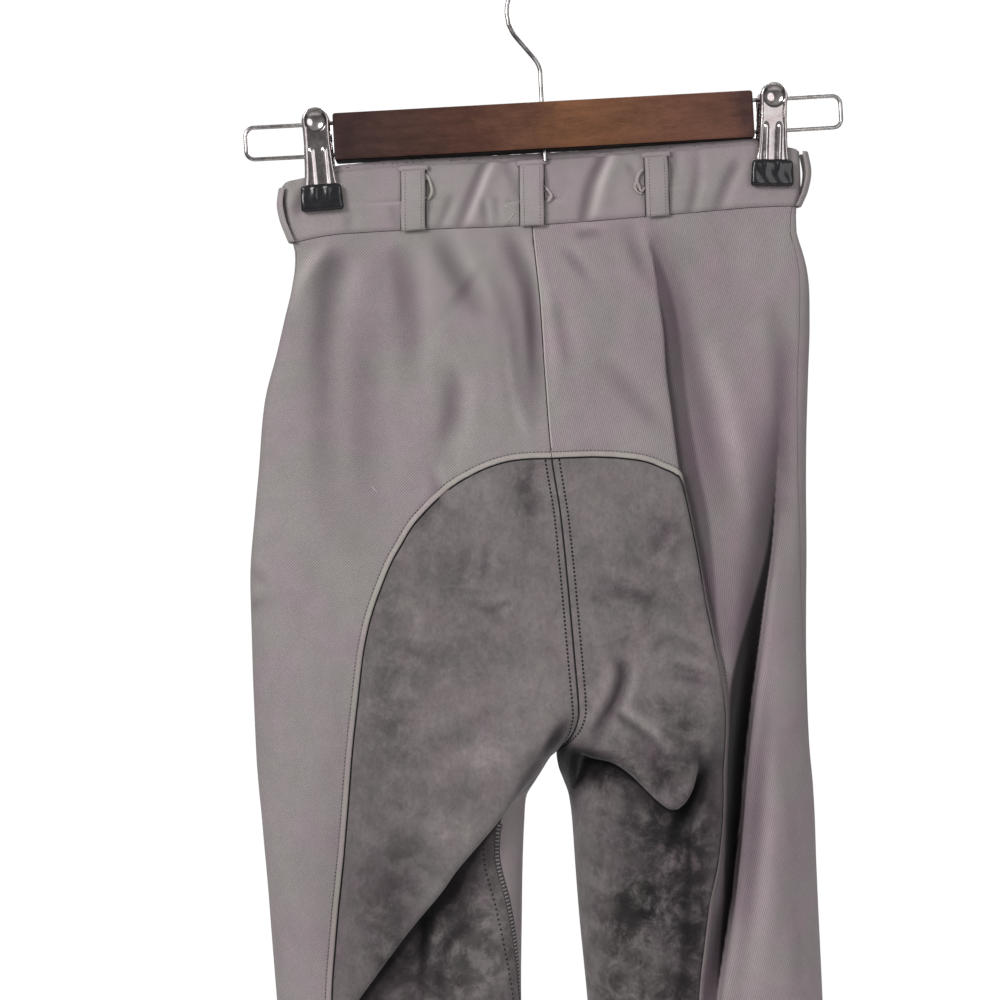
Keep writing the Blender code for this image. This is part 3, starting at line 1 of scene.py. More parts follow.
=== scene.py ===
"""Looks of the riding breeches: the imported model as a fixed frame, dressed in cloth, suede and steel.

Millimetres in the tables, metres in the scene. The back of the garment faces -Y, its front +Y.
"""
import math

import bmesh
import bpy
import numpy as np
from mathutils import Matrix, Vector


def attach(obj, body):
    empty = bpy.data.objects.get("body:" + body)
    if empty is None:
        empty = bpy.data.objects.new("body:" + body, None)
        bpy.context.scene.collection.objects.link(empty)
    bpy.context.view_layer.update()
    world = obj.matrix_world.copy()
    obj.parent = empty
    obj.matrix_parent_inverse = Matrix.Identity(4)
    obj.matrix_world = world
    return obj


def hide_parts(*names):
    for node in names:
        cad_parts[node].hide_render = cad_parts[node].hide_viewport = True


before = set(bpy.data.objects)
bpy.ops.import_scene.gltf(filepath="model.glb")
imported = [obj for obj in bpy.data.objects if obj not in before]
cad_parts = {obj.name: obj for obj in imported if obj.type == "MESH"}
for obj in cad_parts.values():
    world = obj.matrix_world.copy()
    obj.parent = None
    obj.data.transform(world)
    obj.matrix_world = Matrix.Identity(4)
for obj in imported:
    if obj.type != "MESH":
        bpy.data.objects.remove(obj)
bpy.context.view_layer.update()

MM = 0.001
SEAM = 0.3              # gap between two pieces at a seam, and between a piece and its seat
CLOTH = 1.2             # twill and suede wall
BAND = 2.4              # waistband, folded twill
LOOP = 1.6              # belt loop, folded twill
PIPE_WIDTH = 3.0        # flat piping over the patch's edge
PIPE_STAND = {"left": 0.1, "right": 0.45}   # more where it rounds a fold's lip
LOOP_WIDTH = 14.3
CENTRE_X = -9.0         # where the two halves of the band meet at the back
BACKWARD, FORWARD = (0.0, -1.0, 0.0), (0.0, 1.0, 0.0)

CROTCH_Z = -458.0
CROTCH_RISE = 45.0      # height over which the seat seam turns under
HEM_Z = -1057.0
WAIST_Z = -145.5        # nominal height of the seam between band and panels
BAND_TOP_Z = -107.0     # nominal height of the band's top edge
CORNER_Z = -300.0       # where the arch of the patch turns from top to side

# Height, then the four edges of the two legs at the wall's middle, as the back is seen.
# Above the crotch the inner edges are not used.
EDGES = (  # z, left outer, left inner, right inner, right outer
    (-105, -156, -12.2, -11.8, 149.9), (-118, -155.6, -12.2, -11.8, 149.9),
    (-136, -154.2, -12.2, -11.8, 149.4), (-146, -152.2, -12.2, -11.8, 147.4),
    (-152, -151, -12.2, -11.8, 146.6), (-160, -151.4, -12.2, -11.8, 146.5),
    (-170, -153, -12.2, -11.8, 149), (-182, -155.6, -12.2, -11.8, 151.4),
    (-192, -158.6, -12.2, -11.8, 152.1), (-215, -165.2, -12.2, -11.8, 151.2),
    (-242, -173.6, -12.2, -11.8, 148.9), (-257, -176.2, -12.2, -11.8, 147.6),
    (-280, -179.1, -12.2, -11.8, 145.7), (-307, -183, -12.2, -11.8, 143.9),
    (-349, -188.2, -12.2, -11.8, 141.8), (-382, -189.1, -12.2, -11.8, 139.7),
    (-413, -189.8, -12.2, -11.8, 138.1), (-458, -190.2, -12.2, -11.8, 137),
    (-461, -190.1, -15.8, -12.2, 137), (-468, -189.9, -21, -11.5, 137.1),
    (-476, -189.6, -26.4, -9, 137.4), (-486, -189.1, -32.6, -6.2, 137.8),
    (-501, -188.6, -34.6, -5, 137.9), (-532, -187.5, -37.4, -4.5, 137.3), (-554, -187, -38.9, -4, 137),
    (-607, -185.6, -42.2, -1.8, 136.6), (-700, -182.5, -44.5, 0.8, 135), (-780, -179, -47.5, 3.8, 132),
    (-880, -175, -51.5, 7.6, 128.2), (-960, -170.5, -54.5, 11.4, 124.2),
    (-1057, -165.5, -58.5, 15.6, 120.4),
)

# Half depths of the hollow form and the length over which it rounds off at its edges.
DEPTHS = (  # z, back, front, round outer, round inner
    (-105, 2, 2, 4, 40), (-146, 3, 3, 5, 40), (-170, 5.5, 5, 12, 40), (-200, 9.5, 8, 24, 40),
    (-250, 14.5, 11, 38, 40), (-300, 18.5, 13.5, 46, 40), (-350, 22.5, 15.5, 48, 40),
    (-400, 26.5, 17.5, 50, 34), (-458, 30, 20, 50, 24), (-520, 31, 21.5, 46, 22), (-600, 30, 22, 42, 24),
    (-700, 27, 21.5, 38, 26), (-780, 25, 21, 36, 28), (-900, 20, 18, 32, 26), (-1057, 15.5, 15, 28, 24),
)

# Half gap between the waist's two layers, nipped at the clips.
NIP = (  # x, half gap
    (-158, 2.8), (-152, 2.3), (-148.5, 1.45), (-119, 1.45), (-90, 3.4), (-45, 5), (45, 5), (90, 3.4),
    (119, 1.45), (148.5, 1.45), (152, 1.6),
)
NIPPED = 1.45           # half gap in the clips' jaws
BOW = 8.0               # how far the slack waist bows to the front between the clips
BOW_REACH = 118.0

BAND_EDGES = (  # x, top edge, lower edge
    (-158, -115.5, -150.8), (-154, -113.3, -149.9), (-144, -111.3, -148.2), (-135, -110, -146.8),
    (-123, -108.7, -145.9), (-87, -107, -145.5), (-17, -107, -146.2), (84, -106.5, -144.5),
    (110, -106, -143.8), (123, -105.9, -143.6), (143, -108.6, -144), (152, -111, -145.2),
)

SEAMS = (  # z, centre back, centre front
    (-105, -10, 2), (-146, -9.8, 1), (-196, -7.5, -0.8), (-261, -7.2, -3.2), (-282, -6.6, -4),
    (-321, -3, -5.4), (-367, -1, -7.2), (-405, 0.2, -8.6), (-434, 1, -9.7), (-444, -1.5, -10.1),
    (-451, -6, -11.3), (-458, -12, -12),
)

# Side seams on the back, as a length along the cloth from the outer edge, and inseams likewise
# from the inner edge.
SIDE_SEAMS = (  # z, left, right
    (-146, 1, 3), (-170, 1, 5), (-200, 2, 9.5), (-265, 3, 12), (-349, 3, 12), (-420, 3, 8), (-520, 3, 5),
    (-1057, 3, 4),
)
INSEAMS = (  # z, left, right
    (-458, 0.3, 0.3), (-470, 3, 0.3), (-486, 12, 0.3), (-493, 17.5, 0.3), (-499, 20.6, 0.3),
    (-505, 22, 0.3), (-512, 22, 0.3), (-546, 15, 0.3), (-607, 5, 0.3), (-660, 1, 0.3), (-1057, 0.3, 0.3),
)

# The patch's edge from the centre seam over the arch and down the leg.
ARCH_LEFT = (  # x, z
    (-6.9, -284.4), (-20, -284), (-32, -284.8), (-43, -287.4), (-54.6, -291.9), (-67.3, -298.7),
    (-79.6, -308.4), (-90.3, -319.3), (-98.6, -331.5), (-106.6, -345), (-117, -369), (-123.2, -391),
    (-128, -419), (-133.5, -454), (-139, -496), (-147, -549), (-152.6, -592), (-156.5, -645),
    (-157.5, -720), (-154.5, -800), (-149, -900), (-139, -1057),
)
ARCH_RIGHT = (  # x, z
    (-6.9, -284.4), (5.3, -284.6), (19, -285), (33.3, -286.4), (46, -288.7), (53.8, -291.5),
    (60.6, -295.4), (64.3, -299.6), (66.6, -305.2), (70, -322), (73.7, -349), (76.4, -373.5),
    (80.5, -397), (84.2, -411.5), (86, -436.5), (83.3, -469), (80.8, -499), (75.8, -527.5),
    (69.2, -555.5), (61.7, -603.5), (59.5, -650), (62, -720), (67.5, -800), (77, -900), (93, -1057),
)

# Folds that lap over a hollow. The hollow is on the left or the right of the path's travel, its
# depth is a share of the form's depth, 'half' the half width of the step, and 'lean' carries the
# lip out over the hollow and the root back. 'dark' is the shade in the core under the lip, 'shade'
# what spreads beyond it: reach, amount. 'snap' crowds the mesh's columns at the lap.
LAPS = (  # path of x, z, share, reach of the hollow, width of the dark core
    # The left seat over inner thigh.
    {"leg": "left", "hollow": "left", "snap": True, "depth": 0.56, "half": 7, "lean": 6.6,
     "dark": 1.15, "shade": ((9, 0.6), (22, 0.3)), "path": (-25.5, -470, 0, 120, 1, -33.5, -479.8, 0.5,
        120, 1, -41.3, -486.6, 0.85, 120, 1.5, -58.5, -504, 1, 120, 3.5, -75.1, -521.4, 1, 110, 7.5, -85.1,
        -534, 1, 100, 9.5, -107.6, -558.5, 1, 90, 6, -133, -590.5, 0.85, 80, 4, -143, -606, 0.4, 70, 1,
        -152, -622, 0, 60, 0)},
    # The right seat over inner thigh.
    {"leg": "right", "hollow": "right", "snap": False, "depth": 0.55, "half": 6.5, "lean": 4.4,
     "dark": 1.6, "shade": ((6, 0.7), (14, 0.5)), "path": (-3, -457.8, 0, 14, 5, 1, -458.6, 0.5, 18, 5, 6,
        -460.2, 1, 24, 5, 19, -464, 1, 28, 3.5, 30, -472.2, 1, 26, 2.5, 39.3, -482.5, 1, 22, 2, 46, -489.3,
        1, 18, 2, 53, -493.4, 1, 12, 4, 59.5, -489, 1, 8, 6, 64.4, -481.3, 0.9, 6, 5, 67.2, -472, 0.6, 6,
        3, 66.4, -461, 0, 6, 0)},
    # The right seat over hip.
    {"leg": "right", "hollow": "left", "snap": True, "depth": 0.34, "half": 4.6, "lean": 3,
     "dark": 0.62, "shade": ((19, 0.3),), "path": (57, -152, 0, 26, 0, 59.8, -170, 0.35, 26, 4, 62, -190,
        0.65, 26, 8, 63.6, -215, 0.9, 26, 10, 63.4, -240, 1, 26, 11, 65.3, -268.7, 1, 26, 11, 67.4, -299,
        1, 26, 12, 71, -322, 1, 24, 12, 74.6, -349, 1, 20, 10, 77.7, -373.5, 0.8, 18, 7, 81.7, -397, 0.5,
        14, 2, 86, -414, 0, 10, 0)},
    # The right side flap.
    {"leg": "right", "hollow": "right", "snap": True, "depth": 0.74, "half": 5.5, "lean": 5,
     "dark": 2.3, "shade": ((13, 0.7), (24, 0.3)), "path": (130, -262, 0, 12, 0, 126, -300, 0.25, 12, 0.2,
        121.2, -342, 0.5, 11, 2.5, 115, -376.5, 0.8, 10, 7, 108, -415, 1, 9.5, 15, 103.8, -436.5, 1, 9,
        15.5, 98.4, -469, 1, 9, 13, 93, -507, 1, 8, 9.5, 89.2, -531, 0.95, 7, 8, 84.2, -556.5, 0.8, 7, 4.5,
        74, -600, 0.5, 8, 0.5, 70.5, -622, 0.2, 8, 0, 69, -640, 0, 8, 0)},
)

# How far the right patch's rows dip to run along the seat's lap.
ROW_DIP = (  # x, dip
    (-12, 0), (-4, 0), (3.8, -1.8), (19, -6.6), (30, -14.8), (39.3, -25), (46, -31.8), (53, -35.6),
    (59.5, -31.6), (64.4, -23.8), (67.3, -14.8), (72, -6), (77.5, 0),
)

# Creases on the back: depth in mm, positive is a trough, negative a ridge.
CREASES = (  # depth, half width, path of x, z, share
    (-1.8, 5, -128, -149, 0, -137, -157, 0.9, -146, -168, 1, -152.5, -181, 0.5, -156, -196, 0),
    (3.4, 7.5, -124, -152, 0, -128, -164, 1, -134, -184, 1, -138, -219, 0.7, -139, -255, 0.4, -138, -330,
     0),
    (2.6, 7, -92, -153, 0, -88.5, -166, 0.9, -86, -187, 1, -85, -211, 0.7, -89, -246, 0),
    (3, 6, -67, -150, 0.2, -62, -160, 0.9, -55.5, -174.3, 1, -48, -189, 0.7, -40.3, -204, 0),
    (1.6, 6, -38, -166, 0, -29, -188, 0.8, -26.4, -208, 1, -26, -240, 0.8, -28, -272, 0),
    (3.6, 5.2, -24, -152, 0.3, -20, -165, 0.9, -15.5, -182, 1, -13, -205, 1, -12.5, -232, 0.8, -14, -256,
     0.3, -16, -272, 0),
    (-1.3, 3.5, -28.5, -196, 0, -28.4, -214, 0.8, -27.4, -238, 1, -24, -260, 0.8, -18, -277, 0),
    (2.4, 6, -62, -226, 0, -62.2, -244, 1, -64, -260, 1, -70, -274, 0.6, -75.5, -292, 0),
    (1, 3, -79, -284, 0, -75, -297, 1, -72.5, -308, 0.8, -70.5, -318, 0),
    (1.6, 9, -112, -190, 0, -113, -230, 1, -116, -280, 0.6, -124, -330, 0),
    (0.9, 3.5, -190, -336, 0, -183, -345, 1, -177, -350, 0.4, -170, -353, 0),
    (1.1, 4, -190, -366, 0, -184, -362, 1, -176, -361, 0.4, -168, -362, 0),
    # Suede of the left seat.
    (1.3, 4, -71, -300, 0, -76, -307, 0.9, -81, -315, 1, -87, -325, 0),
    (1.5, 5.5, -24, -292, 0, -22, -304, 1, -21, -322, 0.8, -24, -345, 0),
    (1, 3.5, -59, -336, 0, -61, -346, 1, -64.5, -358, 0.8, -66, -370, 0),
    (0.9, 2.6, -46.5, -330, 0, -47.4, -340, 1, -49.5, -352, 0.9, -55, -364, 0),
    (1.1, 2.4, -58, -366, 0, -51, -371, 1, -44.5, -375, 1, -38, -384, 0),
    (1.2, 2.2, -47, -373, 0, -42.5, -371.2, 1, -37.5, -369, 0.8, -33, -368, 0),
    (1.6, 7, -36, -425, 0, -52, -436, 0.8, -74, -446, 1, -100, -460, 0),
    (1.5, 4.5, -127, -566, 0, -119, -573, 1, -110, -581, 0.6, -104, -588, 0),
    (1.6, 7, -96, -500, 0, -102, -520, 0.9, -108, -545, 0.7, -116, -566, 0),
    # Inner thigh under the left seat's fold.
    (3, 3.6, -89, -548, 0, -94, -554, 1, -98, -570, 1, -101, -600, 0.8, -103, -640, 0),
    (2.6, 3.6, -62, -546, 0, -67, -553, 1, -74, -560, 1, -85, -571, 0.9, -89, -600, 0.7, -90, -640, 0),
    # Right seat.
    (3.8, 3.8, 25, -404, 0, 27.6, -410, 0.8, 27, -417, 1, 22.5, -427, 1, 16, -437.5, 0.9, 10.5, -447, 0.7,
     7, -457, 0),
    (-1.4, 4, 18, -406, 0, 19.5, -414, 1, 16, -426, 1, 9, -438, 0.8, 4, -448, 0),
    (2.2, 2.8, 21, -434, 0, 25.5, -438.6, 1, 32, -444, 1, 39.5, -450.3, 0.9, 45.7, -457, 0.9, 49, -466, 0),
    (-1.2, 3.5, 26, -433, 0, 33, -439, 1, 42, -445, 0.9, 49, -451, 0),
    (1.5, 4.5, 14, -358, 0, 24, -363, 0.8, 32, -366.3, 1, 42.5, -371, 1, 52, -375.8, 0.7, 60, -378, 0),
    (1.5, 3.2, 44, -404, 0, 49, -398.6, 1, 53.5, -395, 1, 60, -397, 0.8, 71, -402, 0.7, 79, -406.5, 0),
    (1.7, 2.2, 55, -409.5, 0, 60.5, -411.8, 1, 70, -414.8, 1, 81, -418, 0.3),
    (1.5, 2.2, 56, -415, 0, 62, -417.5, 1, 72.8, -420.4, 1, 82, -423.3, 0.3),
    (1.4, 3.6, 61, -327, 0, 57, -333, 1, 52, -340, 1, 47, -347, 0),
    (2.2, 5.5, 58, -456, 0, 55, -464, 1, 50.5, -473, 1, 46, -481, 0.4, 44, -486, 0),
    (1.4, 7, 64, -430, 0, 60, -440, 1, 57, -450, 0.7, 56, -458, 0),
    # Right thigh below the lap.
    (2.2, 6, 62, -504, 0, 64, -520, 1, 63, -545, 1, 58, -575, 0.8, 54, -620, 0),
    (1.5, 5, 28, -486, 0, 31, -500, 1, 34, -518, 0.7, 34, -540, 0),
    (1.4, 5, 70, -545, 0, 74, -560, 1, 71, -580, 1, 66, -605, 0),
    # Right centre panel and the cloth beyond its fold.
    (1.1, 3.2, 6, -160, 0, 12, -167, 1, 18, -175, 1, 23, -187, 0),
    (0.9, 4, 1, -184, 0, 3, -200, 1, 5.5, -220, 1, 9, -236, 0),
    (1.3, 5.5, 22, -229, 0, 33, -239, 0.9, 44, -254, 1, 55, -268, 0.7, 64, -284, 0),
    (1.6, 4.5, 47, -152, 0.4, 50, -163, 1, 54, -176, 0.9, 60, -192, 0),
    (1.3, 3, 15, -151, 0, 20, -153.5, 1, 28, -154, 0.8, 33, -157, 0),
    (1.8, 6, 70, -170, 0, 74, -196, 0.8, 78, -226, 1, 84, -262, 1, 90, -300, 0.8, 97, -345, 0),
    (-1.2, 7, 92, -215, 0, 97, -250, 1, 103, -290, 1, 107, -330, 0),
    (2.4, 6, 128, -196, 0, 132, -222, 0.6, 131, -256, 1, 127, -296, 1, 121, -336, 0.6, 116, -370, 0),
    (-1, 6, 112, -440, 0, 109, -480, 1, 104, -530, 1, 94, -590, 0.6, 88, -640, 0),
    (1.2, 8, 126, -470, 0, 124, -520, 1, 121, -570, 1, 120, -640, 0),
    # Lower legs, soft and plain.
    (2.4, 12, -120, -650, 0, -112, -700, 1, -104, -760, 0.8, -98, -820, 0),
    (2, 10, -80, -740, 0, -98, -775, 1, -124, -796, 0.8, -150, -806, 0),
    (2.4, 12, 88, -640, 0, 80, -700, 1, 70, -760, 0.8, 62, -830, 0),
    (2, 10, 30, -760, 0, 52, -786, 1, 80, -800, 0.8, 112, -806, 0),
    (1.6, 12, -130, -860, 0, -118, -910, 1, -106, -980, 0.7, -102, -1040, 0),
    (1.6, 12, 84, -850, 0, 74, -910, 1, 66, -980, 0.7, 64, -1040, 0),
)

# Creases on the front, of the same sort.
FRONT_CREASES = (
    (3, 10, -118, -156, 0, -126, -200, 1, -132, -280, 0.7, -134, -360, 0),
    (2.6, 9, 110, -156, 0, 112, -210, 1, 108, -300, 0.6, 104, -380, 0),
    (4, 9, -20, -440, 0, -44, -452, 1, -78, -476, 0.8, -118, -520, 0),
    (3.6, 9, 0, -440, 0, 24, -450, 1, 56, -472, 0.8, 92, -512, 0),
    (2, 6, -30, -470, 0, -54, -486, 1, -84, -512, 0.8, -110, -556, 0),
    (1.8, 6, 14, -466, 0, 36, -484, 1, 60, -512, 0.8, 80, -556, 0),
    (1.6, 5, -22, -330, 0, -40, -352, 1, -66, -366, 0.6, -92, -372, 0),
    (1.6, 5, 2, -318, 0, 22, -336, 1, 48, -350, 0.6, 74, -356, 0),
    (1.4, 6, -74, -154, 0, -78, -180, 1, -80, -216, 0.6, -82, -250, 0),
    (1.4, 6, 60, -154, 0, 63, -184, 1, 64, -220, 0.6, 66, -256, 0),
    (3, 12, -108, -640, 0, -116, -700, 1, -112, -770, 0), (3, 12, 60, -620, 0, 70, -690, 1, 66, -780, 0),
    (2, 9, -70, -770, 0, -100, -790, 1, -140, -796, 0.8, -168, -790, 0),
    (2, 9, 24, -772, 0, 56, -792, 1, 92, -798, 0.8, 122, -790, 0),
)

# Creases of the waistband's back.
BAND_CREASES = (
    (1.5, 2.6, -36, -107, 0.6, -37.7, -110, 1, -43.8, -123, 1, -52.6, -142.3, 0.8, -54, -146, 0.3),
    (-0.8, 3, -30, -106, 0.5, -37, -119, 1, -46, -140, 0.5),
    (1.8, 3, 34, -106, 0.6, 33.3, -109.5, 1, 26, -124, 1, 20.7, -142.8, 0.9, 20, -146, 0.3),
    (-0.8, 3.5, 41, -106, 0.5, 34, -122, 1, 29, -140, 0.5),
    (0.9, 2.2, -56.5, -124, 0, -58.4, -129.5, 1, -65.1, -143.4, 0.8),
    (0.9, 2, -39, -128, 0, -38.4, -133, 1, -37.7, -144, 0.8),
    (0.7, 1.8, -30.5, -127, 0, -30.5, -131, 1, -30.4, -142, 0.5),
    (0.9, 2, 48, -111, 0, 50, -116, 1, 53, -123, 0),
    (1, 2.4, 76.5, -106, 0.6, 75.8, -115.4, 1, 75.3, -126, 0),
    (1.1, 2.6, 90, -106, 0.3, 89, -122, 0.8, 87.6, -130, 1, 83.9, -143, 0.8),
    (1.2, 3, 114, -112, 0, 111.4, -119, 1, 105, -131, 1, 100, -143, 0.7),
    (0.9, 3.4, -153, -133, 0, -149, -130, 1, -143, -122, 0.9, -135, -117, 0),
    (0.8, 3, -24, -106, 0.8, -22, -113, 1, -18.5, -124, 0.6, -18, -130, 0),
    (0.6, 2.6, -95, -130, 0, -92, -134, 1, -90.5, -143, 0.6),
    (0.6, 3, -120, -133, 0, -119, -138, 1, -120, -145, 0.5),
)

# The tuck where the band's facing is caught: a small step along these runs.
TUCKS = (  # path of x, z, share
    (-121, -128, 0, -110, -127.9, 0.7, -96, -127.9, 1, -87, -127.9, 1),
    (-72, -128.4, 0.6, -62, -128.8, 0), (-26, -132.4, 0, -22.8, -131.4, 1, -16, -130.6, 1),
    (-1.2, -131.4, 1, 7, -131.8, 0.8, 15, -132.6, 0), (73, -128.4, 1, 80, -128.2, 0.9, 89, -127.6, 0),
)

# Patches of wear and dirt, and painted shade in hollows: piece, centre x, z, radii, amount (positive is
# darker).
STAINS_AND_SHADE = (
    ("patch", -75, -318, 34, 10, 0.18), ("patch", -110, -352, 12, 22, 0.25),
    ("patch", -22, -302, 10, 26, 0.38), ("patch", -60, -350, 26, 18, 0.22),
    ("patch", -108, -430, 16, 50, 0.28), ("patch", -70, -400, 34, 26, 0.2),
    ("patch", -118, -545, 14, 34, 0.45), ("patch", -98, -512, 12, 18, 0.35),
    ("patch", -70, -480, 20, 10, 0.2), ("patch", -104, -585, 22, 20, 0.3),
    ("patch", -45, -318, 18, 22, -0.12), ("patch", -60, -430, 26, 22, -0.12),
    ("patch", -80, -500, 16, 10, -0.22), ("patch", -52, -456, 14, 10, -0.18),
    ("patch", -24, -420, 12, 30, -0.1), ("patch", 56, -334, 9, 9, 0.35),
    ("patch", 40, -350, 30, 18, 0.15), ("patch", 34, -370, 22, 8, 0.35), ("patch", 36, -392, 16, 9, 0.28),
    ("patch", 72, -380, 12, 16, 0.15), ("patch", 62, -446, 10, 18, 0.45),
    ("patch", 48, -434, 10, 8, 0.25), ("patch", 50, -468, 7, 12, 0.35),
    ("patch", 74, -428, 10, 10, -0.15), ("patch", 44, -400, 8, 8, -0.2), ("patch", 14, -470, 26, 12, 0.8),
    ("patch", 40, -505, 26, 12, 0.55), ("patch", 60, -520, 18, 26, 0.6),
    ("patch", 33, -545, 16, 16, 0.75), ("patch", 58, -570, 14, 22, 0.65),
    ("patch", 22, -560, 14, 16, 0.5), ("patch", 48, -600, 20, 16, 0.65),
    ("patch", 12, -600, 14, 22, 0.45), ("patch", 20, -505, 16, 18, -0.1),
    ("patch", 46, -578, 9, 14, -0.25), ("patch", 40, -540, 50, 70, 0.42),
    ("thigh", -80, -560, 44, 50, 0.6), ("thigh", -92, -600, 30, 30, 0.3),
    ("panel", -27, -230, 9, 40, 0.1), ("panel", 128, -300, 9, 60, 0.12),
)

CREASE_SHADE = 0.078    # painted shade in a trough, by its depth
BAND_SHADE = 0.34
# Painted shade in dark hollows, and in broad darker areas: leg, centre x, z, radii, lean of x with z,
# amount.
SHADE_SPOTS = (
    ("right", -1, -461, 12, 5.5, 0, 2.2), ("right", 10, -468.5, 11, 5.5, -0.3, 1.2),
    ("right", -8, -470, 4, 14, 0, 1.2), ("right", 60, -494.5, 3.6, 19, 0.57, 2.3),
    ("right", 57, -503, 6, 8, 0.6, 0.5), ("right", 50, -513, 9, 5, 0, 0.6),
    ("right", 66, -462, 5, 8, 0.3, 0.9), ("right", 44, -466, 5, 14, -0.6, 0.45),
    ("right", 57, -540, 3, 42, 0.1, 0.9), ("right", 50, -600, 3.5, 30, 0.2, 0.5),
    ("right", 76, -480, 5, 30, 0.1, 0.5), ("left", -95, -556, 4, 11, 0.25, 1.5),
    ("left", -97.5, -580, 3, 18, 0.1, 0.5), ("left", -79, -540, 9, 12, 0.9, 0.35),
    ("left", -13.5, -448, 4.5, 9, 0.5, 1.3), ("left", -130, -260, 34, 100, 0, 0.1),
    ("left", -124, -560, 30, 120, -0.1, 0.24), ("right", 88, -235, 24, 95, 0.1, 0.13),
    ("right", 40, -215, 26, 60, 0, 0.07), ("left", -25, -463, 3.5, 22, 0.75, 0.6),
    ("right", -3, -467, 14, 12, 0, 1.7), ("right", -6, -480, 8, 16, 0.1, 0.8),
    ("right", 40, -545, 34, 60, 0, 0.22), ("right", 98, -505, 5.5, 60, 0.15, 0.55),
    ("right", 70, -430, 4, 24, -0.1, 0.15), ("right", 133, -262, 7, 46, 0.1, 0.12),
    ("right", 122, -322, 8, 30, 0.22, 0.12), ("right", 63, -166, 5, 16, -0.1, 0.2),
    ("left", -14.5, -205, 3.5, 30, 0.06, 0.35), ("left", -52, -182, 4.5, 13, 0.75, 0.25),
)

# Rows of the cloth, in bands of even steps.
ROW_BANDS = (  # from, to, rows
    (WAIST_Z, CORNER_Z, 86),
    (CORNER_Z, -440.0, 80),
    (-440.0, -520.0, 66),
    (-520.0, -640.0, 66),
    (-640.0, HEM_Z, 70),
)
FRONT_BANDS = (
    (WAIST_Z, CROTCH_Z, 62),
    (CROTCH_Z, -530.0, 36),
    (-530.0, -640.0, 36),
    (-640.0, HEM_Z, 52),
)
PATCH_COLUMNS = {"left": 66, "right": 62}
SIDE_COLUMNS = {"left": 40, "right": 60}
FRONT_COLUMNS = 84
OVERLAP = 26.0          # the waist's right end laps over its left end at the centre front

# Hanger.
BAR = (249.0, 13.0, 28.2)            # length, depth, height
WIRE_R = 1.3
LOOP_WIRE_R = 1.2
HOOK_RX = 17.9
HOOK_RZ = 21.8
STEM_END_Z = -109.0
END_LOOP_X = 177.2
END_LOOP_Z = (-79.5, -98.4)
SOCKET = 8.0
CLIPS = (  # name, x at the top, x at the jaw
    ("left", -134.5, -133.2),
    ("right", 136.9, 133.2),
)
CLIP_TOP_Z = -71.8
CLIP_SPRING_Z = -88.95
CLIP_SPRING_R = 7.95
CLIP_SPRING_LENGTH = 12.0
CAP = (25.2, 5.0, 15.2)              # width, thickness, height
CAP_TOP_Z = -116.9
PLATE = 1.0
PLATE_SHAPE = (  # z, half width, distance of its middle from the clip's plane
    (-71.8, 0, 11), (-72.4, 2.9, 10.95), (-73.9, 5.4, 10.75), (-76.3, 7.3, 10.45), (-79.6, 8.2, 10.05),
    (-85.5, 7.9, 9.25), (-92, 7.9, 8.75), (-97.5, 8.2, 8.3), (-105, 8.6, 7.2), (-111, 9.1, 6.3),
    (-116.4, 9.8, 5.7),
)

# Ripples of hanging cloth: wave length in x and z, lean, phase, height.
RIPPLES = (
    (61, 93, 0.3, 0.4, 0.36), (38, 120, -0.4, 1.9, 0.3), (27, 55, 0.5, 4.1, 0.2),
    (19, 34, -0.6, 2.7, 0.12), (13, 47, 0.2, 5.2, 0.08), (9.7, 21, 0.7, 0.9, 0.05),
)
PIPE_SHAPE = (  # share of the half width, height
    (-1.0, 0.0), (-0.94, 0.55), (-0.6, 0.8), (-0.2, 0.9), (0.2, 0.95), (0.6, 1.0), (0.94, 0.75), (1.0, 0.0),
)
STITCH_SHAPE = ((-0.5, 0.0), (-0.36, 0.5), (0.36, 0.5), (0.5, 0.0), (0.36, -0.5), (-0.36, -0.5))
STRIP_SHAPE = ((-0.5, -0.2), (-0.42, 0.6), (0.0, 1.0), (0.42, 0.6), (0.5, -0.2))
RIB_X = 3.9             # ribs of a clip's plate from its middle
BUTTON_AT = (-12.0, -126.0)
BUTTON_PROFILE = (  # radius, height
    (7.2, 0.0), (8.2, 0.5), (8.5, 1.2), (8.2, 2.1), (7.4, 2.6), (6.6, 2.4), (5.6, 1.9),
)
BACK_LOOPS = (  # name, x, width, lean
    ("left", -79.5, 14.3, -1.9), ("centre", -9.0, 14.3, -1.5), ("right", 65.4, 13.6, -0.8),
)
FRONT_LOOPS = (("left", -84.0), ("right", 88.0))
SIDE_LOOPS = (  # name, side, top z, foot z, stand at the top, near the middle and at the foot
    ("left", -1.0, -117.0, -149.2, 0.4, 2.6, 0.5), ("right", 1.0, -112.5, -144.4, 3.2, 4.6, -0.15),
)
TUFTS = (  # name, seed, route of x, z, height over the band
    ("left", 3, (-72.3, -112.8, 0.6, -70.1, -115.1, 1.3, -68.9, -119.5, 1.6, -68.6, -123.4, 1.5,
                 -70.6, -126.8, 0.9, -71.8, -127.6, 0.4)),
    ("centre", 5, (-1, -124, 0.5, 0.6, -126.1, 1.4, 2.2, -129, 1.5, 0.8, -131.4, 1.3, -0.6, -132.3, 0.5)),
    ("right", 7, (57.9, -117, 0.4, 55.4, -119, 1.2, 53.4, -123.1, 1.6, 54.4, -126.6, 1.6, 55.6, -129.6, 1.2,
                  57.8, -127.6, 0.5)),
    ("right_low", 11, (54, -124, 1, 52.2, -126.4, 1.5, 52.8, -129.4, 1.2, 55.4, -131, 0.5)),
)
LINT = (  # routes of x, z
    ((-25.6, -133.5), (-21.3, -136.2), (-17.6, -138.4)),
    ((-19.8, -138.2), (-22.6, -141.6), (-25.3, -145.0)),
    ((-112.0, -297.0), (-110.0, -299.4), (-108.2, -301.6)),
)
DARKEST = 0.35          # what a shade of 1 leaves of a colour
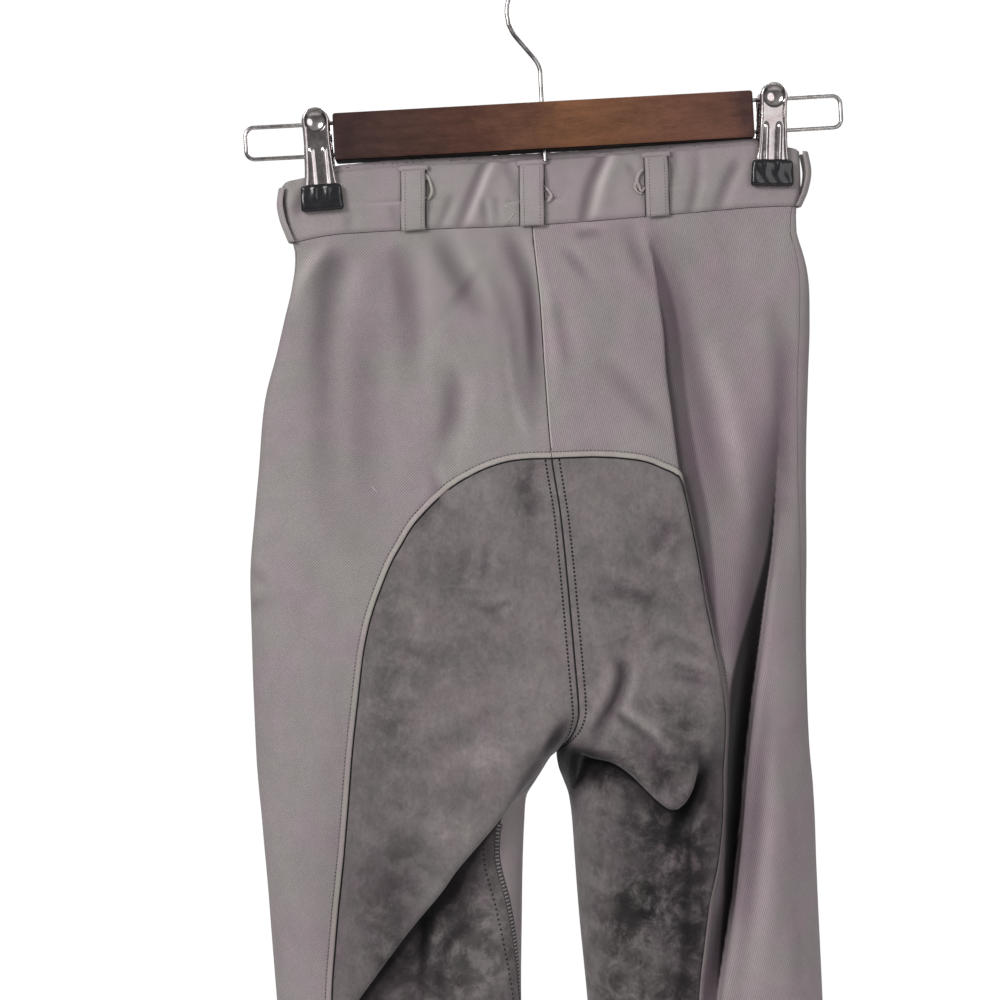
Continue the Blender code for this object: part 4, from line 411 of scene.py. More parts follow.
WOOD_TONES = (  # place along the bar, colour
    (0.0, (0.040, 0.022, 0.020)), (0.14, (0.056, 0.027, 0.022)), (0.3, (0.074, 0.032, 0.023)),
    (0.46, (0.112, 0.050, 0.030)), (0.57, (0.156, 0.068, 0.034)), (0.72, (0.142, 0.062, 0.036)),
    (0.93, (0.120, 0.054, 0.038)), (1.0, (0.060, 0.030, 0.026)),
)
# Cut of each cloth piece in metres: width, length, area where it is no rectangle, how it is held and
# what it hangs from. The areas of panels and patches come from their meshes, and so does the
# waistband's length.
CUTS = {
    "waistband": ((0.305, 0.0385), None, "hung", ("clip_left_back", "clip_right_back")),
    "back_panel": ((0.200, 0.925), None, "hung", ("waistband",)),
    "front_panel": ((0.265, 0.925), None, "hung", ("waistband",)),
    "seat_patch": ((0.165, 0.800), None, "hung", ("back_panel",)),
    "piping": ((0.010, 0.900), 0.0031, "hung", ("back_panel",)),
    "belt_loop": ((0.0143, 0.0375), None, "stretched", ("waistband",)),
    "fly_placket": ((0.043, 0.148), 0.0052, "hung", ("front_panel",)),
}


# ---------------------------------------------------------------------------------- curves

def smooth(t):
    """A soft step from 0 to 1."""
    t = np.clip(t, 0, 1)
    return t * t * (3 - 2 * t)


def unit(v):
    """Vectors along the last axis, brought to length 1."""
    return v / np.maximum(1e-9, np.linalg.norm(v, axis=-1, keepdims=True))


def lengths(p):
    """Running length along a row of points."""
    return np.concatenate([[0], np.cumsum(np.linalg.norm(np.diff(p, axis=0), axis=1))])


def sampled(at, run, p):
    """Points of a row at some running lengths."""
    return np.stack([np.interp(at, run, p[:, k]) for k in range(p.shape[1])], axis=-1)


def column(table, value):
    """A smooth curve through one column of a table against its first, without overshoot."""
    k, v = np.array(sorted((row[0], row[value]) for row in table), float).T
    step = np.diff(k)
    slope = np.diff(v) / step
    tangent = np.zeros(len(k))
    tangent[[0, -1]] = slope[[0, -1]]
    for i in range(1, len(k) - 1):
        if slope[i - 1] * slope[i] > 0:
            a = 2 * step[i] + step[i - 1]
            b = step[i] + 2 * step[i - 1]
            tangent[i] = (a + b) / (a / slope[i - 1] + b / slope[i])

    def at(x):
        x = np.clip(np.asarray(x, float), k[0], k[-1])
        i = np.clip(np.searchsorted(k, x, side="right") - 1, 0, len(k) - 2)
        t = (x - k[i]) / step[i]
        start = (1 + 2 * t) * (1 - t) ** 2 * v[i] + t * (1 - t) ** 2 * step[i] * tangent[i]
        end = t * t * (3 - 2 * t) * v[i + 1] + t * t * (t - 1) * step[i] * tangent[i + 1]
        return start + end

    return at


def soft_path(rows, steps=5):
    """A Catmull-Rom curve through a path's rows, all columns alike."""
    p = np.array(rows, float)
    p = np.vstack([2 * p[0] - p[1], p, 2 * p[-1] - p[-2]])
    out = []
    for a, b, c, d in zip(p, p[1:], p[2:], p[3:]):
        for t in np.arange(steps) / steps:
            out.append(0.5 * (2 * b + (c - a) * t + (2 * a - 5 * b + 4 * c - d) * t ** 2
                              + (3 * b - a - 3 * c + d) * t ** 3))
    return np.array(out + [p[-2]])


def nearest(path, x, z):
    """Signed distance from a path (positive on the left of its travel), the unit vector to its
    left, and its other columns at the nearest point."""
    best = np.full(x.shape, np.inf)
    signed = np.zeros(x.shape)
    left = np.zeros(x.shape + (2,))
    extra = np.zeros(x.shape + (path.shape[1] - 2,))
    for a, b in zip(path[:-1], path[1:]):
        dx, dz = b[0] - a[0], b[1] - a[1]
        length = math.hypot(dx, dz)
        if length < 1e-9:
            continue
        t = np.clip(((x - a[0]) * dx + (z - a[1]) * dz) / length ** 2, 0, 1)
        rx, rz = x - (a[0] + dx * t), z - (a[1] + dz * t)
        gap = np.hypot(rx, rz)
        closer = gap < best
        best = np.where(closer, gap, best)
        signed = np.where(closer, np.where(dx * rz - dz * rx >= 0, gap, -gap), signed)
        left = np.where(closer[..., None], np.array([-dz, dx]) / length, left)
        extra = np.where(closer[..., None], a[2:] + (b[2:] - a[2:]) * t[..., None], extra)
    return signed, left, extra


def triples(row):
    """A flat row of numbers as x, z and share at each place."""
    return np.reshape(row, (-1, 3))


def crease_lines(rows):
    """Depth, half width and soft path of each crease."""
    return [(row[0], row[1], soft_path(triples(row[2:]), 4)) for row in rows]


def creased(lines, x, z):
    """Depth of the creases at each place: a trough with a low ridge beside it."""
    out = np.zeros(x.shape)
    for depth, half, path in lines:
        low, high = path[:, :2].min(axis=0) - 3.2 * half, path[:, :2].max(axis=0) + 3.2 * half
        near = (x > low[0]) & (x < high[0]) & (z > low[1]) & (z < high[1])
        if np.any(near):
            s, _, extra = nearest(path, x[near], z[near])
            ridge = 0.32 * np.exp(-((s - 1.9 * half) / half) ** 2)
            out[near] += depth * extra[..., 0] * (np.exp(-(s / half) ** 2) - ridge)
    return out


def lap_lean(s, half, lean):
    """Shift towards the hollow: forwards at the lip, backwards at the root."""
    spread = 0.8 * half
    return lean * (np.exp(-((s + 0.5 * half) / spread) ** 2)
                   - np.exp(-((s - 0.5 * half) / spread) ** 2))


def lip_reach(half, lean):
    """How far the lip of a lap stands past the path before it is set back."""
    s = np.linspace(-half, 0, 60)
    return float(np.max(s + lap_lean(s, half, lean)))


def rippled(x, z):
    """Fine unevenness of hanging cloth."""
    out = np.zeros(x.shape)
    for wide, tall, lean, phase, height in RIPPLES:
        warp = 1.3 * np.sin(z / (tall * 0.61) + phase) + 0.9 * np.sin(x / (wide * 0.83) - phase)
        out += height * np.sin(2 * np.pi * (x / wide + lean * z / tall) + warp + phase)
    return out


LEFT_OUTER, LEFT_INNER, RIGHT_INNER, RIGHT_OUTER = (column(EDGES, k) for k in (1, 2, 3, 4))
BACK_DEPTH, FRONT_DEPTH, ROUND_OUTER, ROUND_INNER = (column(DEPTHS, k) for k in (1, 2, 3, 4))
CENTRE_BACK, CENTRE_FRONT = column(SEAMS, 1), column(SEAMS, 2)
BAND_TOP, BAND_FOOT = column(BAND_EDGES, 1), column(BAND_EDGES, 2)
HALF_GAP = column(NIP, 1)
ROW_DIP_AT = column(ROW_DIP, 1)
SIDE_SEAM = {"left": column(SIDE_SEAMS, 1), "right": column(SIDE_SEAMS, 2)}
INSEAM = {"left": column(INSEAMS, 1), "right": column(INSEAMS, 2)}
LAP_PATHS = [soft_path(np.reshape(lap["path"], (-1, 5))) for lap in LAPS]
BACK_LINES, FRONT_LINES, BAND_LINES = (crease_lines(t) for t in (CREASES, FRONT_CREASES, BAND_CREASES))


# ---------------------------------------------------------------------------------------- form

class Face:
    """The back or the front of one leg, from the centre or inner edge (0) to the outer edge (1)."""

    HEIGHTS = np.arange(-1058.0, -103.0, 2.0)
    SAMPLES = 240

    def __init__(self, leg, face):
        left, back = leg == "left", face == "back"
        self.side = -1 if left else 1
        self.sign = -1 if back else 1
        self.centre = CENTRE_BACK if back else CENTRE_FRONT
        self.inner = LEFT_INNER if left else RIGHT_INNER
        self.end = LEFT_OUTER if left else RIGHT_OUTER
        self.deep = BACK_DEPTH if back else FRONT_DEPTH
        self.creases = BACK_LINES if back else FRONT_LINES
        self.laps = [(lap, path) for lap, path in zip(LAPS, LAP_PATHS) if back and lap["leg"] == leg]
        self.tabulate()

    def start(self, z):
        """x of the centre seam's edge or, below the crotch, of the inner edge."""
        apart = SEAM / 2 * (1 + 1.4 * smooth((-438 - z) / 14))
        return np.where(z >= CROTCH_Z, self.centre(z) + self.side * apart, self.inner(z))

    def folded(self, x, y, z, fade):
        """Lays the laps, creases and ripples into the form."""
        dx, dz = np.zeros(x.shape), np.zeros(x.shape)
        for lap, path in self.laps:
            half, lean = lap["half"], lap["lean"]
            s, left, extra = nearest(path, x, z)
            to_hollow = 1 if lap["hollow"] == "left" else -1
            s = s * to_hollow + lip_reach(half, lean)
            rise = smooth((s + half) / (2 * half))
            back = np.exp(-(np.maximum(0, s - half) / extra[..., 1]) ** 2)
            share = extra[..., 0]
            y = y * (1 - lap["depth"] * share * rise * back)
            push = to_hollow * lap_lean(s, half, lean) * share * fade
            dx = dx + push * left[..., 0]
            dz = dz + push * left[..., 1]
        y = y - creased(self.creases, x, z) * fade
        calm = smooth((WAIST_Z - 2 - z) / 18) * smooth((x - self.start(z)) * self.side / 9)
        y = y + rippled(x, z + 40 * self.sign) * fade * calm
        return x + dx, y, z + dz

    def point(self, turn, z):
        """A point of the wall's middle; turn runs from 0 at the inner edge to 1 at the outer."""
        turn, z = np.broadcast_arrays(np.asarray(turn, float), np.asarray(z, float))
        x0, x1 = self.start(z), self.end(z)
        share = (1 - np.cos(np.pi * turn)) / 2
        x = x0 + (x1 - x0) * share
        width = np.abs(x1 - x0)
        to_outer = np.maximum(0, 1 - width * (1 - share) / ROUND_OUTER(z))
        to_inner = np.maximum(0, 1 - width * share / ROUND_INNER(z))
        open_seam = np.clip((CROTCH_Z + CROTCH_RISE - z) / CROTCH_RISE, 0, 1)
        fade = np.sqrt(np.maximum(0, 1 - to_outer ** 2))
        fade = fade * np.sqrt(np.maximum(0, 1 - (open_seam * to_inner) ** 2))
        nipped = 1 - smooth((-138 - z) / 62)
        depth = self.deep(z) * (1 - nipped) + HALF_GAP(x) * nipped
        bow = BOW * (1 - smooth((-150 - z) / 130))
        middle = bow * np.maximum(0, 1 - (x / BOW_REACH) ** 2)
        px, py, pz = self.folded(x, depth * fade, z, fade)
        drop = (BAND_FOOT(x) - WAIST_Z) * (1 - smooth((WAIST_Z - z) / 45))
        drop = np.where(z <= WAIST_Z, drop, 0)
        return np.stack([px, middle + self.sign * py, pz + drop], axis=-1)

    def normal(self, turn, z):
        """Outward unit normal of the wall."""
        step = 0.004
        z = np.where(z <= WAIST_Z, np.minimum(z, WAIST_Z - 0.6), np.maximum(z, WAIST_Z + 0.6))
        ahead, behind = (self.point(np.clip(turn + d, 0, 1), z) for d in (step, -step))
        up = np.where(np.abs(z - CROTCH_Z) < 0.6, 0, 0.5)
        rise = self.point(turn, z + up) - self.point(turn, z - 0.5)
        return unit(np.cross(ahead - behind, rise) * -self.side * self.sign)

    def tabulate(self):
        """Length along the cloth at each height, for even columns."""
        turn = np.linspace(0, 1, self.SAMPLES + 1)
        z = self.HEIGHTS[:, None]
        p = self.point(turn[None, :], z)
        length = np.linalg.norm(np.diff(p, axis=1), axis=-1)
        x = (p[:, 1:, 0] + p[:, :-1, 0]) / 2
        crowd = np.ones(x.shape)
        for lap, path in self.laps:
            if lap["snap"]:
                s, _, extra = nearest(path, x, np.broadcast_to(z, x.shape))
                crowd += 1.6 * extra[..., 0] * np.exp(-(s / 13) ** 2)
        first = np.zeros((len(z), 1))
        self.real = np.hstack([first, np.cumsum(length, axis=1)])
        run = np.hstack([first, np.cumsum(length * crowd, axis=1)])
        self.run = run / run[:, -1:]
        self.even = np.array([np.interp(turn, row, turn) for row in self.run])

    def look_up(self, table, share, z):
        share, z = np.broadcast_arrays(np.asarray(share, float), np.asarray(z, float))
        row = np.clip((z - self.HEIGHTS[0]) / 2.0, 0.0, len(self.HEIGHTS) - 1.001)
        col = np.clip(share, 0, 1) * self.SAMPLES
        i = row.astype(int)
        j = np.minimum(col.astype(int), self.SAMPLES - 1)
        fi, fj = row - i, col - j
        low = table[i, j] * (1 - fj) + table[i, j + 1] * fj
        high = table[i + 1, j] * (1 - fj) + table[i + 1, j + 1] * fj
        return low * (1 - fi) + high * fi

    def turn_of(self, even, z):
        """The turn at an even share of the row."""
        return self.look_up(self.even, even, z)

    def even_of(self, turn, z):
        return self.look_up(self.run, turn, z)

    def plain_x(self, turn, z):
        """Where the form stands before the laps move it."""
        x0, x1 = self.start(z), self.end(z)
        return x0 + (x1 - x0) * (1 - np.cos(np.pi * turn)) / 2

    def turn_of_x(self, x, z):
        x0, x1 = self.start(z), self.end(z)
        share = np.clip((x - x0) / (x1 - x0), 0, 1)
        return np.arccos(1 - 2 * share) / np.pi

    def turn_from_edge(self, length, z, edge=0):
        """The turn at a true length from the inner (0) or outer (1) edge."""
        z = np.asarray(z, float)
        low, high = np.zeros(z.shape), np.ones(z.shape)
        target = self.look_up(self.real, high, z) - length if edge else length
        for _ in range(26):
            middle = (low + high) / 2
            short = self.look_up(self.real, middle, z) < target
            low, high = np.where(short, middle, low), np.where(short, high, middle)
        return (low + high) / 2

    def flat(self, turn, z):
        """Place on the cut cloth in metres, for the weave."""
        turn, z = np.broadcast_arrays(np.asarray(turn, float), np.asarray(z, float))
        whole = self.look_up(self.real, 1, z)
        at_crotch = self.look_up(self.real, 1, CROTCH_Z + 4)
        run = self.look_up(self.real, turn, z) + np.where(z < CROTCH_Z + 4, at_crotch - whole, 0)
        return np.stack([self.side * run, z], axis=-1) * MM


FACES = {(leg, face): Face(leg, face) for leg in ("left", "right") for face in ("back", "front")}


def rows_between(bands):
    """Heights of the rows, without repeats."""
    out = [top + (bottom - top) * i / count for top, bottom, count in bands for i in range(count)]
    return np.array(out + [bands[-1][1]])


Z_ROWS, FRONT_ROWS = rows_between(ROW_BANDS), rows_between(FRONT_BANDS)
CORNER_ROW = ROW_BANDS[0][2]


def seam_normal(face, z):
    """Normal of the centre seam's edge, the same for both legs."""
    run = face.point(0, z + 0.25) - face.point(0, np.maximum(z - 0.25, CROTCH_Z))
    return unit(np.stack([0 * z, face.sign * np.abs(run[..., 2]), -np.abs(run[..., 1])], axis=-1))


def lay(face, turn, z):
    """Points and normals of the wall, with the normals squared up at the seams on the edges."""
    point, normal = face.point(turn, z), face.normal(turn, z)
    turn, z = np.broadcast_arrays(np.asarray(turn, float), np.asarray(z, float))
    at_seam = (turn < 1e-6) & (z >= CROTCH_Z)
    if np.any(at_seam):
        normal[at_seam] = seam_normal(face, z[at_seam])
    on_edge = (turn < 0.05) & ((point[..., 0] - face.start(z)) * face.side < 0.4)
    normal[on_edge & (np.abs(z - CROTCH_Z) < 0.01)] = (0, 0, -1)
    inner = on_edge & (z < CROTCH_Z - 0.01)
    normal[inner, 1] = 0
    normal[inner] = unit(normal[inner])
    return point, normal


# ---------------------------------------------------------------------------------- materials

def toned(colour, factor):
    return tuple(c * factor for c in colour)


class Shader:
    """A node material written as short calls."""

    def __init__(self, name, **sockets):
        self.mat = bpy.data.materials.new(name)
        self.mat.use_nodes = True
        self.tree = self.mat.node_tree
        self.bsdf = self.tree.nodes["Principled BSDF"]
        for key, value in sockets.items():
            self.bsdf.inputs[key.replace("_", " ")].default_value = value
        self.where = self.node("ShaderNodeTexCoord")

    def node(self, kind, props=None, **inputs):
        made = self.tree.nodes.new(kind)
        for key, value in (props or {}).items():
            setattr(made, key, value)
        for key, value in inputs.items():
            by_index = key[0] == "i" and key[1:].isdigit()
            self.put(made.inputs[int(key[1:]) if by_index else key.replace("_", " ")], value)
        return made

    def put(self, socket, value):
        if isinstance(value, bpy.types.NodeSocket):
            self.tree.links.new(value, socket)
        else:
            socket.default_value = value

    def to(self, socket, value):
        self.put(self.bsdf.inputs[socket], value)

    def place(self, uv=False, angle=0, scale=(1, 1, 1)):
        source = self.where.outputs["UV" if uv else "Object"]
        return self.node("ShaderNodeMapping", Vector=source, Rotation=(0, 0, angle),
                         Scale=scale).outputs[0]

    def noise(self, vector, scale, detail=3, rough=0.55, distort=0):
        return self.node("ShaderNodeTexNoise", Vector=vector, Scale=scale, Detail=detail,
                         Roughness=rough, Distortion=distort).outputs["Fac"]

    def span(self, value, low, high, to_low=0, to_high=1):
        return self.node("ShaderNodeMapRange", Value=value, From_Min=low, From_Max=high,
                         To_Min=to_low, To_Max=to_high).outputs[0]

    def vary(self, noise, to_low, to_high):
        """A noise's usual range brought between two values."""
        return self.span(noise, 0.3, 0.7, to_low, to_high)

    def maths(self, kind, a, b=0):
        return self.node("ShaderNodeMath", {"operation": kind}, i0=a, i1=b).outputs[0]

    def times(self, product, *values):
        for value in values:
            product = self.maths("MULTIPLY", product, value)
        return product

    def marked(self, name):
        """A value marked on the mesh's points."""
        return self.node("ShaderNodeAttribute", {"attribute_name": name}).outputs["Fac"]

    def axis(self, source, index):
        return self.node("ShaderNodeSeparateXYZ", Vector=self.where.outputs[source]).outputs[index]

    def mix(self, factor, a, b, kind="MIX"):
        made = self.node("ShaderNodeMix", {"data_type": "RGBA", "blend_type": kind})
        self.put(made.inputs[0], factor)
        for socket, value in ((made.inputs[6], a), (made.inputs[7], b)):
            self.put(socket, value if isinstance(value, bpy.types.NodeSocket) else (*value, 1))
        return made.outputs[2]

    def scaled(self, colour, factor):
        """A colour times a number."""
        grey = self.node("ShaderNodeCombineColor", i0=factor, i1=factor, i2=factor).outputs[0]
        return self.mix(1, colour, grey, "MULTIPLY")

    def shaded_and_soiled(self, colour, level, patch):
        """A colour darkened, and tinted violet, by the marked painted shade, and in patches by the second
        mark, of wear, dirt and painted shade.
        """
        shade = self.marked("shade")
        soil_and_shade = self.times(self.marked("soil_and_shade"), self.span(patch, 0.40, 0.57, 0.15, 1.6))
        dark = self.maths("POWER", DARKEST, self.maths("ADD", shade, soil_and_shade))
        violet = self.mix(self.span(shade, 0, 0.6), (1, 1, 1), (1.03, 0.965, 1.03))
        return self.scaled(self.mix(1, colour, violet, "MULTIPLY"), self.times(level, dark))

    def bump(self, height, distance, strength=1, below=None):
        made = self.node("ShaderNodeBump", Height=height, Distance=distance, Strength=strength)
        if below is not None:
            self.tree.links.new(below, made.inputs["Normal"])
        return made.outputs[0]


def twill(name, angle, base=(0.250, 0.222, 0.224), pitch=0.00116, contrast=0.24, light=1):
    """Cotton twill: fine slanting ribs, faded unevenly, a little fluffy."""
    s = Shader(name, Roughness=0.92, Sheen_Weight=0.12, Sheen_Roughness=0.55,
               Specular_IOR_Level=0.18)
    base = toned(base, light)
    flat = s.place(uv=True, angle=math.radians(angle))
    here = s.place()
    rib = s.node("ShaderNodeTexWave", {"wave_type": "BANDS", "bands_direction": "Y"},
                 Vector=flat, Scale=0.314159 / pitch, Distortion=0.9, Detail=2,
                 Detail_Scale=0.35, Detail_Roughness=0.6).outputs["Fac"]
    slub = s.noise(flat, 620, 2, 0.6)
    wide = s.noise(here, 11, 4, 0.6, 0.4)
    mid = s.noise(here, 75, 4, 0.62)
    tint = s.noise(here, 23, 3, 0.6, 0.6)
    fuzz = s.noise(here, 2300, 2, 0.7)
    ribs = s.maths("ADD", s.times(rib, 0.75), s.times(slub, 0.5))
    colour = s.mix(s.span(ribs, 0.1, 1), toned(base, 1 - contrast), toned(base, 1 + contrast))
    cast = s.mix(s.span(tint, 0.36, 0.62), (1.03, 0.965, 1.02), (0.965, 1.01, 0.965))
    colour = s.mix(1, colour, cast, "MULTIPLY")
    level = s.times(s.vary(wide, 0.93, 1.06), s.vary(mid, 0.95, 1.05), s.span(fuzz, 0.25, 0.75, 0.93, 1.07))
    s.to("Base Color", s.shaded_and_soiled(colour, level, mid))
    soft = s.bump(s.noise(here, 58, 4, 0.6), 0.0011, 0.55)
    s.to("Normal", s.bump(fuzz, 0.00005, 0.6, s.bump(ribs, 0.00016, 0.8, soft)))
    s.to("Roughness", s.vary(mid, 0.88, 0.97))
    return s.mat


def suede(name):
    """Split suede: mottled, brushed both ways, darkened in patches by wear, dirt and painted shade."""
    s = Shader(name, Roughness=0.95, Sheen_Weight=0.22, Sheen_Roughness=0.5,
               Specular_IOR_Level=0.12)
    here = s.place()
    brushed = s.place(scale=(1, 1, 0.72))
    cloud = s.noise(here, 34, 7, 0.7, 0.25)
    blot = s.noise(brushed, 170, 6, 0.74, 0.25)
    nap = s.noise(brushed, 520, 4, 0.75)
    grain = s.noise(here, 2400, 2, 0.8)
    tint = s.noise(here, 46, 5, 0.65, 0.3)
    colour = s.mix(s.span(cloud, 0.34, 0.66), (0.146, 0.131, 0.130), (0.188, 0.168, 0.166))
    cast = s.mix(s.span(tint, 0.38, 0.60), (1.03, 0.965, 1.015), (0.98, 1, 0.985))
    colour = s.mix(1, colour, cast, "MULTIPLY")
    level = s.times(s.vary(blot, 0.84, 1.16), s.vary(nap, 0.88, 1.12), s.span(grain, 0.25, 0.75, 0.88, 1.12))
    s.to("Base Color", s.shaded_and_soiled(colour, level, s.noise(here, 74, 7, 0.7, 0.35)))
    soft = s.bump(blot, 0.0012, 0.6)
    s.to("Normal", s.bump(grain, 0.00012, 0.7, s.bump(nap, 0.0004, 0.5, soft)))
    s.to("Roughness", s.vary(cloud, 0.88, 1))
    return s.mat


def walnut():
    """Stained wood: dark at its left end, worn warmer in the middle, its underside painted near black as
    shade.
    """
    s = Shader("walnut", Roughness=0.55, Specular_IOR_Level=0.1)
    grain = s.noise(s.place(scale=(0.16, 1, 1)), 210, 6, 0.7, 0.5)
    pores = s.noise(s.place(scale=(0.3, 1, 1)), 1300, 3, 0.7)
    cloud = s.noise(s.place(), 62, 5, 0.65, 0.6)
    x = s.maths("ADD", s.axis("Object", 0), s.vary(cloud, -0.012, 0.012))
    stops = s.node("ShaderNodeValToRGB", Fac=s.span(x, -0.125, 0.125))
    ramp = stops.color_ramp
    while len(ramp.elements) < len(WOOD_TONES):
        ramp.elements.new(0.5)
    for element, (spot, tone) in zip(ramp.elements, WOOD_TONES):
        element.position = spot
        element.color = (*tone, 1)
    # The last factor is painted shade: faces that look down go near black.
    level = s.times(s.vary(grain, 0.74, 1.22), s.span(pores, 0.3, 0.6, 0.86, 1.06), s.vary(cloud, 0.88, 1.1),
                    s.span(s.axis("Normal", 2), -0.9, -0.4, 0.04, 1))
    s.to("Base Color", s.scaled(stops.outputs[0], level))
    s.to("Normal", s.bump(pores, 0.00007, 0.5, s.bump(grain, 0.0002, 0.3)))
    s.to("Roughness", s.vary(cloud, 0.42, 0.6))
    return s.mat


def steel(name, dark, light, rough):
    """Chromed wire and plate, smeared and a little brown; the marked shade, a painted reflection on the
    plates, darkens it.
    """
    s = Shader(name, Metallic=1, Roughness=rough)
    smear = s.noise(s.place(), 170, 5, 0.65, 0.6)
    speck = s.noise(s.place(), 1500, 2, 0.7)
    level = s.times(s.maths("POWER", DARKEST, s.marked("shade")), s.span(speck, 0.3, 0.45, 0.86, 1))
    s.to("Base Color", s.scaled(s.mix(s.span(smear, 0.32, 0.68), dark, light), level))
    s.to("Roughness", s.vary(smear, rough * 0.7, rough * 1.6))
    s.to("Normal", s.bump(s.noise(s.place(), 90, 2), 0.0003, 0.12))
    return s.mat


def vinyl(name, colour, rough, coat):
    """Dipped plastic or pressed horn: glossy, with small dents and lint."""
    s = Shader(name, Roughness=rough, Coat_Weight=coat, Coat_Roughness=0.12,
               Specular_IOR_Level=0.3)
    lint = s.noise(s.place(), 900, 2, 0.7)
    wave = s.noise(s.place(), 210, 3, 0.6)
    s.to("Base Color", s.mix(s.span(lint, 0.62, 0.74), colour, tuple(3 * c + 0.01 for c in colour)))
    s.to("Roughness", s.vary(wave, rough * 0.7, rough * 1.4))
    s.to("Normal", s.bump(wave, 0.0003, 0.12))
    return s.mat


def thread(name, colour):
    """Twisted sewing thread."""
    s = Shader(name, Roughness=0.8, Sheen_Weight=0.1, Specular_IOR_Level=0.2)
    twist = s.noise(s.place(), 1500, 2, 0.7)
    s.to("Base Color", s.mix(s.span(twist, 0.3, 0.7), toned(colour, 0.72), toned(colour, 1.2)))
    s.to("Normal", s.bump(twist, 0.00008, 0.6))
    return s.mat


TWILL_BACK = {"left": twill("twill_left", -38),
              "right": twill("twill_right", -72, (0.258, 0.222, 0.229))}
TWILL_FRONT = twill("twill_front", 40, (0.245, 0.212, 0.217))
TWILL_BAND = twill("twill_band", 38, light=1.06, contrast=0.26)
TWILL_LOOP = twill("twill_loop", -42, light=1.12, contrast=0.26)
PALE_TWILL = twill("twill_pale", -20, (0.40, 0.36, 0.35), 0.0009, 0.12)
PIPING = twill("twill_piping", -12, (0.335, 0.300, 0.286), 0.0009, 0.16)
SUEDE = suede("suede_seat")
WOOD = walnut()
CHROME = steel("chrome_wire", (0.22, 0.205, 0.20), (0.52, 0.50, 0.49), 0.2)
PLATED = steel("chrome_plate", (0.42, 0.355, 0.345), (0.70, 0.65, 0.65), 0.12)
BLACK = vinyl("black_vinyl_cap", (0.008, 0.008, 0.010), 0.24, 0.25)
HORN = vinyl("horn_button", (0.17, 0.15, 0.14), 0.32, 0.2)
SEAM_THREAD = thread("thread_seam", (0.062, 0.055, 0.057))
RUNG_THREAD = thread("thread_rung", (0.27, 0.245, 0.245))
# Black thread, also drawn as black strips that stand in as painted shadow.
BLACK_THREAD_AND_SHADE = thread("thread_black_and_shade", (0.012, 0.011, 0.013))
BROWN_THREAD = thread("thread_brown", (0.085, 0.072, 0.072))
PALE_THREAD = thread("thread_pale", (0.46, 0.42, 0.40))


# ------------------------------------------------------------------------------- making pieces

def quads(index):
    """Quads between the neighbours in a grid of point numbers."""
    corners = (index[:-1, :-1], index[:-1, 1:], index[1:, 1:], index[1:, :-1])
    return [tuple(q) for q in np.stack(corners, axis=-1).reshape(-1, 4).tolist()]


def tube_faces(rows, columns, inward=False, first=0):
    """Quads round a tube stored ring by ring, and its two ends."""
    grid = first + np.arange(rows * columns).reshape(rows, columns)
    faces = quads(np.hstack([grid, grid[:, :1]]))
    faces += [tuple(grid[0].tolist())[::-1], tuple(grid[-1].tolist())]
    return [f[:1] + f[:0:-1] for f in faces] if inward else faces


def open_edges(faces):
    """The open edges of a sheet, in the direction of the faces."""
    edges = {}
    for f in faces:
        for a, b in zip(f, f[1:] + f[:1]):
            if (b, a) in edges:
                del edges[(b, a)]
            else:
                edges[(a, b)] = True
    return list(edges)


def add_mesh(name, points, faces, mat, node=None, uv=None, shade=None, angle=None):
    """A visible piece from points in mm; it takes the place of a node where one is named."""
    mesh = bpy.data.meshes.new(name)
    mesh.from_pydata([tuple(p) for p in np.asarray(points, float) * MM], [], faces)
    if uv is not None:
        layer = mesh.uv_layers.new(name="cloth")
        index = np.zeros(len(mesh.loops), dtype=np.int32)
        mesh.loops.foreach_get("vertex_index", index)
        layer.data.foreach_set("uv", np.reshape(uv, (-1, 2)).astype(np.float32)[index].ravel())
    if shade is not None:
        for mark, values in zip(("shade", "soil_and_shade"), np.atleast_2d(np.asarray(shade, np.float32))):
            mesh.attributes.new(mark, "FLOAT", "POINT").data.foreach_set("value", values)
    mesh.update()
    mesh.shade_smooth()
    if angle:
        mesh.set_sharp_from_angle(angle=math.radians(angle))
    item = bpy.data.objects.new(name, mesh)
    mesh.materials.append(mat)
    bpy.context.scene.collection.objects.link(item)
    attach(item, "root")
    if node:
        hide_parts(node)
    return item


def shell(node, points, normals, low, high, mat, uv, shade=None, roll=0.3, faces=None, name=None):
    """A closed thin wall on an open sheet, its outer face rolled down along the edges."""
    faces = faces or quads(np.arange(np.size(points) // 3).reshape(np.shape(points)[:2]))
    points, normals = (np.asarray(a, float).reshape(-1, 3) for a in (points, normals))
    count = len(points)
    f = faces[len(faces) // 2]
    n = np.cross(points[f[1]] - points[f[0]], points[f[2]] - points[f[0]])
    if np.dot(n, normals[f[0]]) < 0:
        faces = [g[::-1] for g in faces]
    edges = open_edges(faces)
    rim = np.zeros(count, dtype=bool)
    rim[[a for a, _ in edges]] = True
    high = np.broadcast_to(high, (count,)) - roll * rim
    low = np.broadcast_to(low, (count,))
    both = np.vstack([points + normals * high[:, None], points + normals * low[:, None]])
    faces = faces + [tuple(i + count for i in g[::-1]) for g in faces]
    faces += [(b, a, a + count, b + count) for a, b in edges]
    uv = np.tile(np.reshape(uv, (-1, 2)), (2, 1))
    shade = None if shade is None else np.tile(np.atleast_2d(shade), 2)
    return add_mesh(name or node, both, faces, mat, node, uv, shade, 70)


def cloth(node, points, normals, mat, uv, shade, faces=None):
    return shell(node, points, normals, -CLOTH / 2, CLOTH / 2, mat, uv, shade, faces=faces)


def shade_of(lines):
    """Creases with a painted shade for their depth, the stronger the narrower they are."""
    return [(CREASE_SHADE * depth * (1 + 6 / half), half, path) for depth, half, path in lines]


